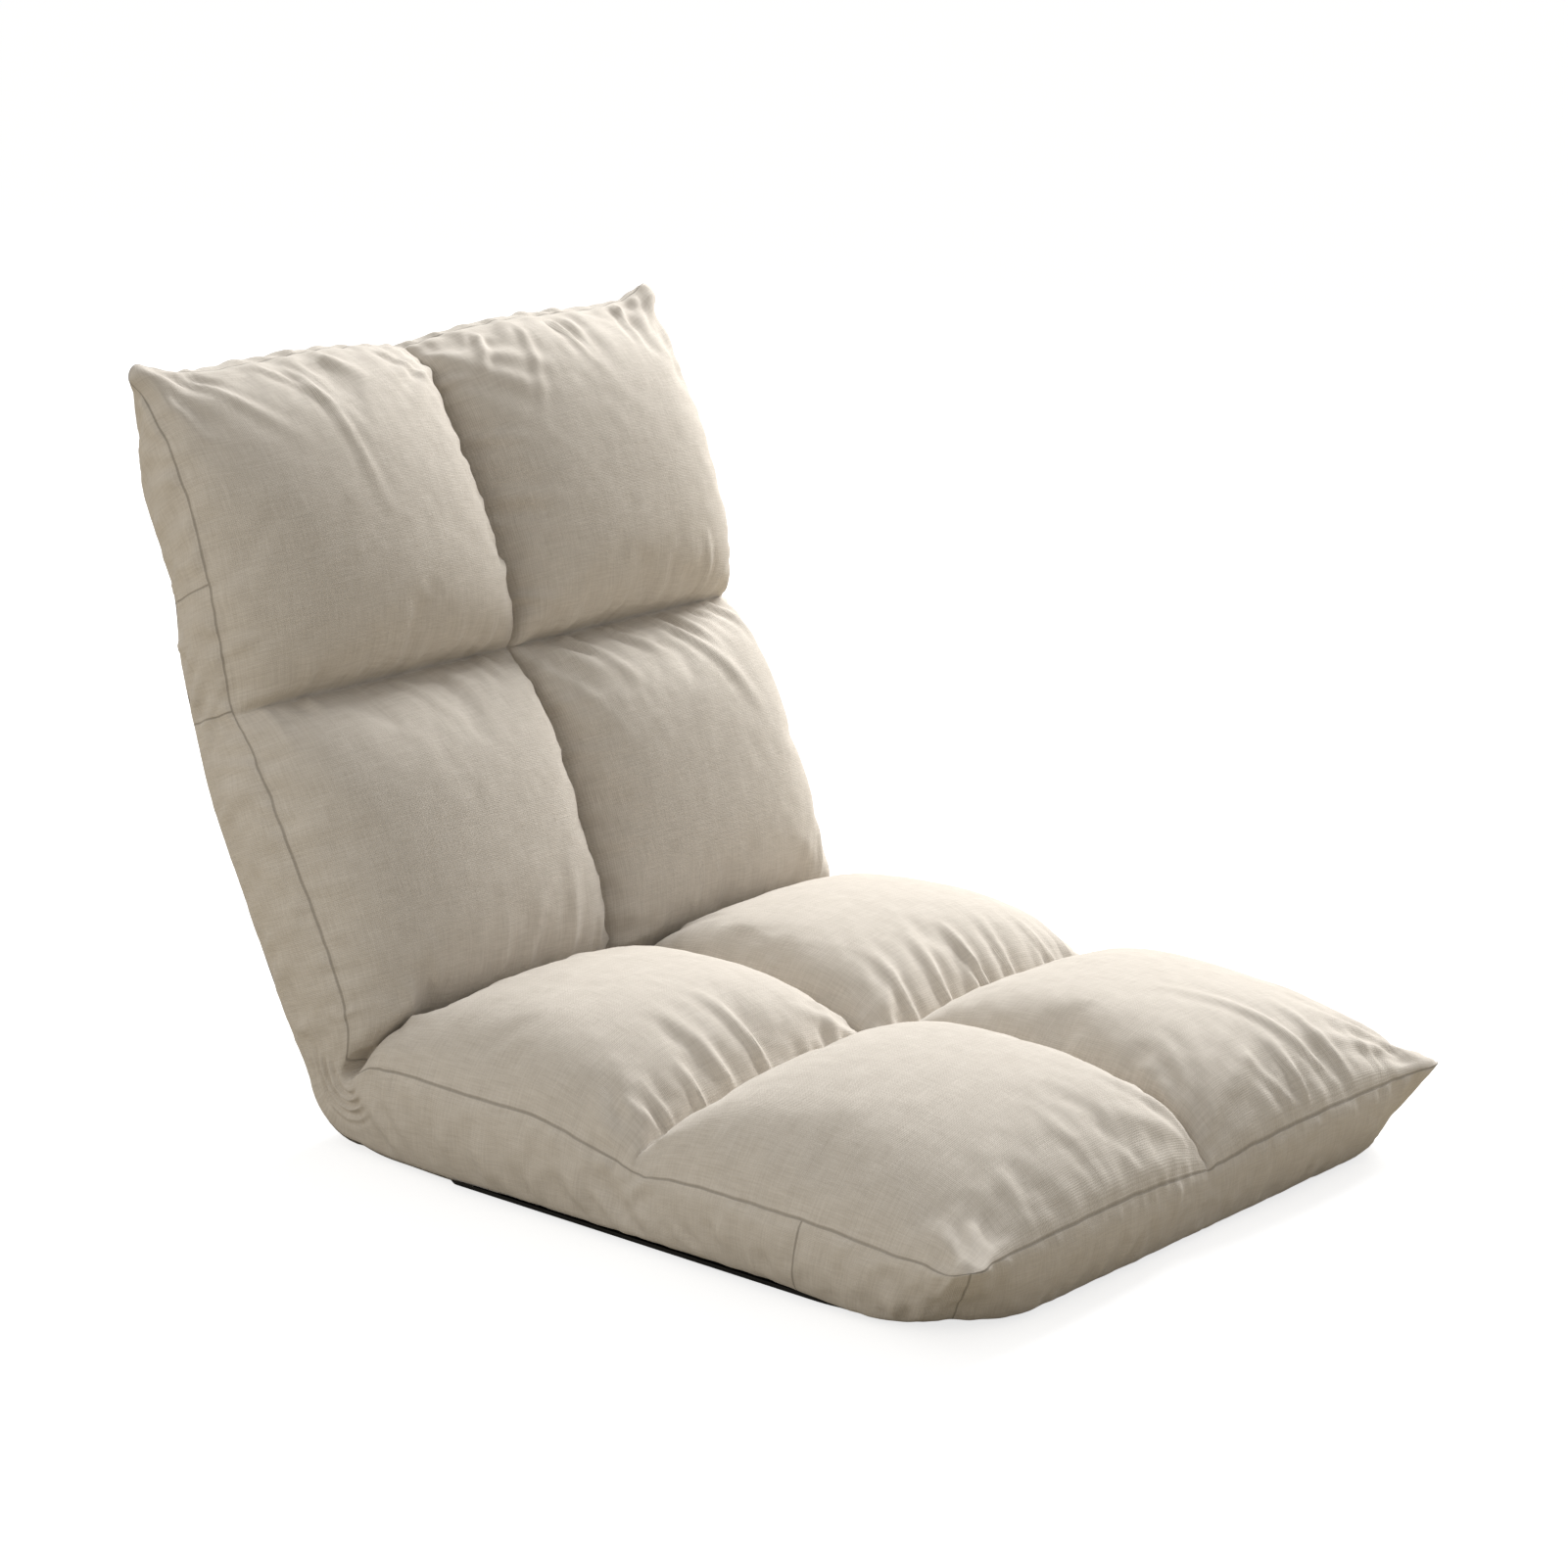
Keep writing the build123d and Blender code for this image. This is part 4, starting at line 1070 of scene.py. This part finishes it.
def finish_surface(tree, shader, colour, height, distance, strength):
    """Gives the shader a colour and a bump."""
    tree.links.new(colour, shader.inputs["Base Color"])
    bump = add_node(tree, "ShaderNodeBump", {"Height": height, "Distance": distance, "Strength": strength})
    tree.links.new(bump.outputs[0], shader.inputs["Normal"])


def new_material(name, **constants):
    """Material with a Principled shader whose constant sockets are set, and its node tree."""
    material = bpy.data.materials.new(name)
    material.use_nodes = True
    shader = material.node_tree.nodes["Principled BSDF"]
    for label, value in constants.items():
        shader.inputs[label.replace("_", " ")].default_value = value
    return material, material.node_tree, shader


# %% Weave group
def weave_group():
    """Threads over and under in metres of cloth: a height, and masks of thick threads and of patches."""
    group, into, out = new_group("plain_weave", "Pitch", ("Height", "Slubs", "Patches"))
    place = add_node(group, "ShaderNodeSeparateXYZ", {0: into.outputs["Vector"]})
    profiles, cells = [], []
    for label in "XY":
        thread = maths(group, "DIVIDE", place.outputs[label], into.outputs["Pitch"])
        cells.append(maths(group, "FLOOR", thread))
        turn = maths(group, "MULTIPLY", maths(group, "FRACT", thread), math.pi)
        profiles.append(maths(group, "SINE", turn))
    over = maths(group, "PINGPONG", maths(group, "ADD", cells[0], cells[1]), 1.0)
    warp = maths(group, "MULTIPLY", profiles[0], maths(group, "MULTIPLY_ADD", profiles[1], 0.5, 0.5))
    weft = maths(group, "MULTIPLY", profiles[1], maths(group, "MULTIPLY_ADD", profiles[0], 0.5, 0.5))
    mix = add_node(group, "ShaderNodeMix", {0: over, 2: warp, 3: weft})
    group.links.new(mix.outputs[0], out.inputs["Height"])
    streaks = []
    for stretch in ((50.0, 750.0, 1.0), (750.0, 50.0, 1.0)):
        run = add_node(group, "ShaderNodeMapping", {"Vector": into.outputs["Vector"], "Scale": stretch})
        streaks.append(noise(group, run.outputs[0], 1.0, 3.0))
    slubs = maths(group, "MULTIPLY", maths(group, "ADD", streaks[0], streaks[1]), 0.5)
    group.links.new(slubs, out.inputs["Slubs"])
    group.links.new(noise(group, into.outputs["Vector"], 60.0, 5.0), out.inputs["Patches"])
    return group


plain_weave = weave_group()
print("weave group has", len(plain_weave.nodes), "nodes")


# %% Seam lines, for painted shade and a groove
BOXING_JOINS = (-0.398, 0.336, 0.254)


def seam_group():
    """Mask of the sewn lines on the cover's cutting layout, for painted shade and a groove; the joins cross
    the boxing only.
    """
    group, into, out = new_group("sewn_lines", "Width", ("Seam",))
    place = add_node(group, "ShaderNodeSeparateXYZ", {0: into.outputs["Vector"]})
    across, along = maths(group, "ABSOLUTE", place.outputs["X"]), place.outputs["Y"]
    wide = into.outputs["Width"]

    def line_mask(value, line):
        """1 on a line, falling to 0 at its width."""
        distance = maths(group, "ABSOLUTE", maths(group, "SUBTRACT", value, line))
        inner = maths(group, "MULTIPLY", wide, 0.35)
        links = {"Value": distance, "From Min": wide, "From Max": inner}
        return add_node(group, "ShaderNodeMapRange", links).outputs[0]

    total = line_mask(across, HALF)
    for line in (-SEAT_LENGTH, BACK_LENGTH):
        total = maths(group, "MAXIMUM", total, line_mask(along, line))
    on_boxing = maths(group, "GREATER_THAN", across, HALF)
    for line in BOXING_JOINS:
        join = maths(group, "MULTIPLY", line_mask(along, line), on_boxing)
        total = maths(group, "MAXIMUM", total, join)
    group.links.new(total, out.inputs["Seam"])
    return group


sewn_group = seam_group()

# %% Linen
LINEN = (0.66, 0.606, 0.535, 1)
LINEN_DARK = (0.46, 0.410, 0.345, 1)
# Colour of the painted shade along the seams, in place of the shadow in the seam groove.
SEAM_PAINTED_SHADE = (0.16, 0.135, 0.105, 1)


def linen_material(name, has_seams):
    """Pale linen with thicker threads and, on the cover, painted shade and a sunk groove along its sewn
    lines.
    """
    material, tree, shader = new_material(name, Roughness=0.9, Specular_IOR_Level=0.2, Sheen_Weight=0.2,
                                          Sheen_Roughness=0.5)
    place = add_node(tree, "ShaderNodeUVMap", uv_map="cut")
    weave = add_node(tree, "ShaderNodeGroup", node_tree=plain_weave)
    tree.links.new(place.outputs[0], weave.inputs["Vector"])
    weave.inputs["Pitch"].default_value = 0.0011
    tone = maths(tree, "MULTIPLY_ADD", weave.outputs["Slubs"], 1.7, -0.40)
    tone = maths(tree, "MULTIPLY_ADD", weave.outputs["Patches"], 0.35, tone)
    tone = maths(tree, "MULTIPLY_ADD", weave.outputs["Height"], 0.2, tone)
    colour = mix_colours(tree, tone, LINEN_DARK, LINEN)
    height = maths(tree, "MULTIPLY_ADD", weave.outputs["Slubs"], 0.8, weave.outputs["Height"])
    if has_seams:
        seam = add_node(tree, "ShaderNodeGroup", node_tree=sewn_group)
        tree.links.new(place.outputs[0], seam.inputs["Vector"])
        seam.inputs["Width"].default_value = 0.0009
        # Painted shade: a thin dark line along the seams and joins stands in for the shadow in their groove.
        colour = mix_colours(tree, maths(tree, "MULTIPLY", seam.outputs[0], 0.5), colour, SEAM_PAINTED_SHADE)
        height = maths(tree, "SUBTRACT", height, maths(tree, "MULTIPLY", seam.outputs[0], 3.0))
    finish_surface(tree, shader, colour, height, 0.0003, 0.5)
    return material


cover.data.materials.append(linen_material("linen_cover", True))
rear_cloth.data.materials.append(linen_material("linen_rear", False))


# %% Black base cloth
def black_cloth_material():
    material, tree, shader = new_material("black_nonwoven", Roughness=0.85, Specular_IOR_Level=0.3)
    place = add_node(tree, "ShaderNodeUVMap", uv_map="cut")
    fibres = noise(tree, place.outputs[0], 900.0, 3.0)
    dots = add_node(tree, "ShaderNodeTexVoronoi", {"Vector": place.outputs[0], "Scale": 420.0}, feature="F1")
    colour = mix_colours(tree, fibres, (0.006, 0.006, 0.007, 1), (0.022, 0.022, 0.024, 1))
    height = maths(tree, "MULTIPLY_ADD", dots.outputs[0], 0.6, fibres)
    finish_surface(tree, shader, colour, height, 0.0003, 0.5)
    return material


base_cloth.data.materials.append(black_cloth_material())

# %% [markdown]
# ## Finishes of the parts inside
# The frame, its hinges, webbing and foam hardly show, but they are finished too: black paint with a slight
# orange peel, zinc plate with its pale patches, woven straps and open foam.

# %% Grain and woven finishes
def object_place(tree, turn=0.0):
    """Object coordinates, turned about the hinge's direction so that they lie in the back or the seat."""
    place = add_node(tree, "ShaderNodeTexCoord").outputs["Object"]
    return add_node(tree, "ShaderNodeMapping", {"Vector": place, "Rotation": (-turn, 0, 0)}).outputs[0]


def speckled_material(name, dark, light, scale, bumps, **constants):
    """Two tones in fine patches, with a bump of the same grain."""
    material, tree, shader = new_material(name, **constants)
    grain = noise(tree, object_place(tree), scale, 4.0)
    rough = maths(tree, "MULTIPLY_ADD", grain, 0.25, constants["Roughness"] - 0.12)
    tree.links.new(rough, shader.inputs["Roughness"])
    finish_surface(tree, shader, mix_colours(tree, grain, dark, light), grain, bumps, 0.6)
    return material


def woven_material(name, dark, light, pitch, turn):
    """Plain weave on a strap or tape."""
    material, tree, shader = new_material(name, Roughness=0.8, Specular_IOR_Level=0.3)
    weave = add_node(tree, "ShaderNodeGroup", node_tree=plain_weave)
    tree.links.new(object_place(tree, turn), weave.inputs["Vector"])
    weave.inputs["Pitch"].default_value = pitch
    height = weave.outputs["Height"]
    finish_surface(tree, shader, mix_colours(tree, height, dark, light), height, 0.0003, 0.6)
    return material


# %% Finishes of the CAD parts
STRAP_DARK, STRAP_LIGHT = (0.006, 0.006, 0.006, 1), (0.03, 0.03, 0.03, 1)
paint = speckled_material("black_paint", (0.010, 0.010, 0.011, 1), (0.022, 0.022, 0.024, 1), 260, 0.0001,
                          Roughness=0.42, Coat_Weight=0.2)
zinc = speckled_material("zinc_plate", (0.42, 0.42, 0.40, 1), (0.66, 0.66, 0.63, 1), 90, 0.00005,
                         Roughness=0.38, Metallic=1.0)
nickel = speckled_material("zip_nickel", (0.40, 0.37, 0.32, 1), (0.56, 0.52, 0.46, 1), 700, 0.00003,
                           Roughness=0.34, Metallic=1.0)
foam_finish = speckled_material("open_foam", (0.52, 0.47, 0.34, 1), (0.72, 0.67, 0.52, 1), 900, 0.0006,
                                Roughness=0.95)
thread = speckled_material("zip_thread", (0.42, 0.37, 0.30, 1), (0.58, 0.53, 0.45, 1), 1500, 0.00005,
                           Roughness=0.6)
strap = {side: woven_material(side + "_strap", STRAP_DARK, STRAP_LIGHT, 0.0018, turn)
         for side, turn in (("seat", 0.0), ("back", TURN))}
tape = woven_material("zip_tape", (0.36, 0.32, 0.26, 1), (0.58, 0.53, 0.45, 1), 0.0009, TURN)
finishes = {
    "foam": foam_finish, "seat_webbing": strap["seat"], "back_webbing": strap["back"],
    "frame_tube": paint, "cross_tube": paint, "zip_tape": tape, "zip_slider": nickel, "zip_pull": nickel,
    "hinge_o": zinc, "hinge_i": zinc, "hinge_p": zinc, "arm": zinc, "pawl": zinc, "rivets": zinc,
}
for name, node in frame["nodes"].items():
    finish = next((finishes[word] for word in finishes if word in name), None)
    if finish is not None:
        node.data.materials.clear()
        node.data.materials.append(finish)
zip_coil.data.materials.append(thread)
for stop in zip_stops:
    stop.data.materials.append(nickel)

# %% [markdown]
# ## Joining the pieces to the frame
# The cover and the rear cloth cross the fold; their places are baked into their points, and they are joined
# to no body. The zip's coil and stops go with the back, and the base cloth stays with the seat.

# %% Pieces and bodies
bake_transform(cover)
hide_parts(*[node for node in frame["nodes"]
                     if "_pad_" in node or "boxing" in node or "gusset" in node])
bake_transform(rear_cloth)
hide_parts("rear_panel", "hinge_cloth")
for piece, slot_name in ((zip_coil, "zip"), (zip_stops[0], "zip_metal"), (zip_stops[1], "zip_metal")):
    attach(piece, "back")
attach(base_cloth, "seat")
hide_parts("base_cloth")

# %% [markdown]
# ## Floor and light
# The photograph has a white ground and one broad light from the upper right. The floor looks white to the
# camera, but it throws back only a little warm light, as the darker floor of the studio did.

# %% Floor
FLOOR_SIZE = 60.0
bpy.ops.object.select_all(action="DESELECT")
bpy.ops.mesh.primitive_plane_add(size=FLOOR_SIZE, location=(0, 0, 0))
floor = bpy.context.object
floor.name = "floor"
floor_material, floor_tree, floor_shader = new_material("pale_floor", Roughness=0.9, Specular_IOR_Level=0.0)
rays = add_node(floor_tree, "ShaderNodeLightPath")
seen = mix_colours(floor_tree, rays.outputs["Is Camera Ray"], (0.38, 0.33, 0.24, 1), (0.5, 0.5, 0.5, 1))
floor_tree.links.new(seen, floor_shader.inputs["Base Color"])
glow = mix_colours(floor_tree, rays.outputs["Is Camera Ray"], (0, 0, 0, 1), (0.74, 0.74, 0.74, 1))
floor_tree.links.new(glow, floor_shader.inputs["Emission Color"])
floor_shader.inputs["Emission Strength"].default_value = 1.0
floor.data.materials.append(floor_material)

# %% Light
SKY = 0.53
AIM = (0.0, 0.15, 0.2)
world = bpy.data.worlds.new("studio")
world.use_nodes = True
sky = world.node_tree.nodes["Background"]
sky.inputs["Color"].default_value = (1.0, 0.99, 0.97, 1)
rays = add_node(world.node_tree, "ShaderNodeLightPath")
strength = maths(world.node_tree, "MULTIPLY_ADD", rays.outputs["Is Camera Ray"], 1.0 - SKY, SKY)
world.node_tree.links.new(strength, sky.inputs["Strength"])
bpy.context.scene.world = world


def area_light(name, place, size, power, colour=(1, 1, 1)):
    """Square light that looks at the chair."""
    data = bpy.data.lights.new(name, "AREA")
    data.size = size
    data.energy = power
    data.color = colour
    light = bpy.data.objects.new(name, data)
    bpy.context.scene.collection.objects.link(light)
    light.location = place
    light.rotation_euler = (Vector(AIM) - Vector(place)).to_track_quat("-Z", "Y").to_euler()


area_light("window", (2.45, 0.7, 1.8), 1.5, 152)
area_light("fill", (-2.6, 0.8, 0.9), 2.0, 18, (1.0, 0.96, 0.88))
bpy.context.scene.view_settings.view_transform = "Standard"
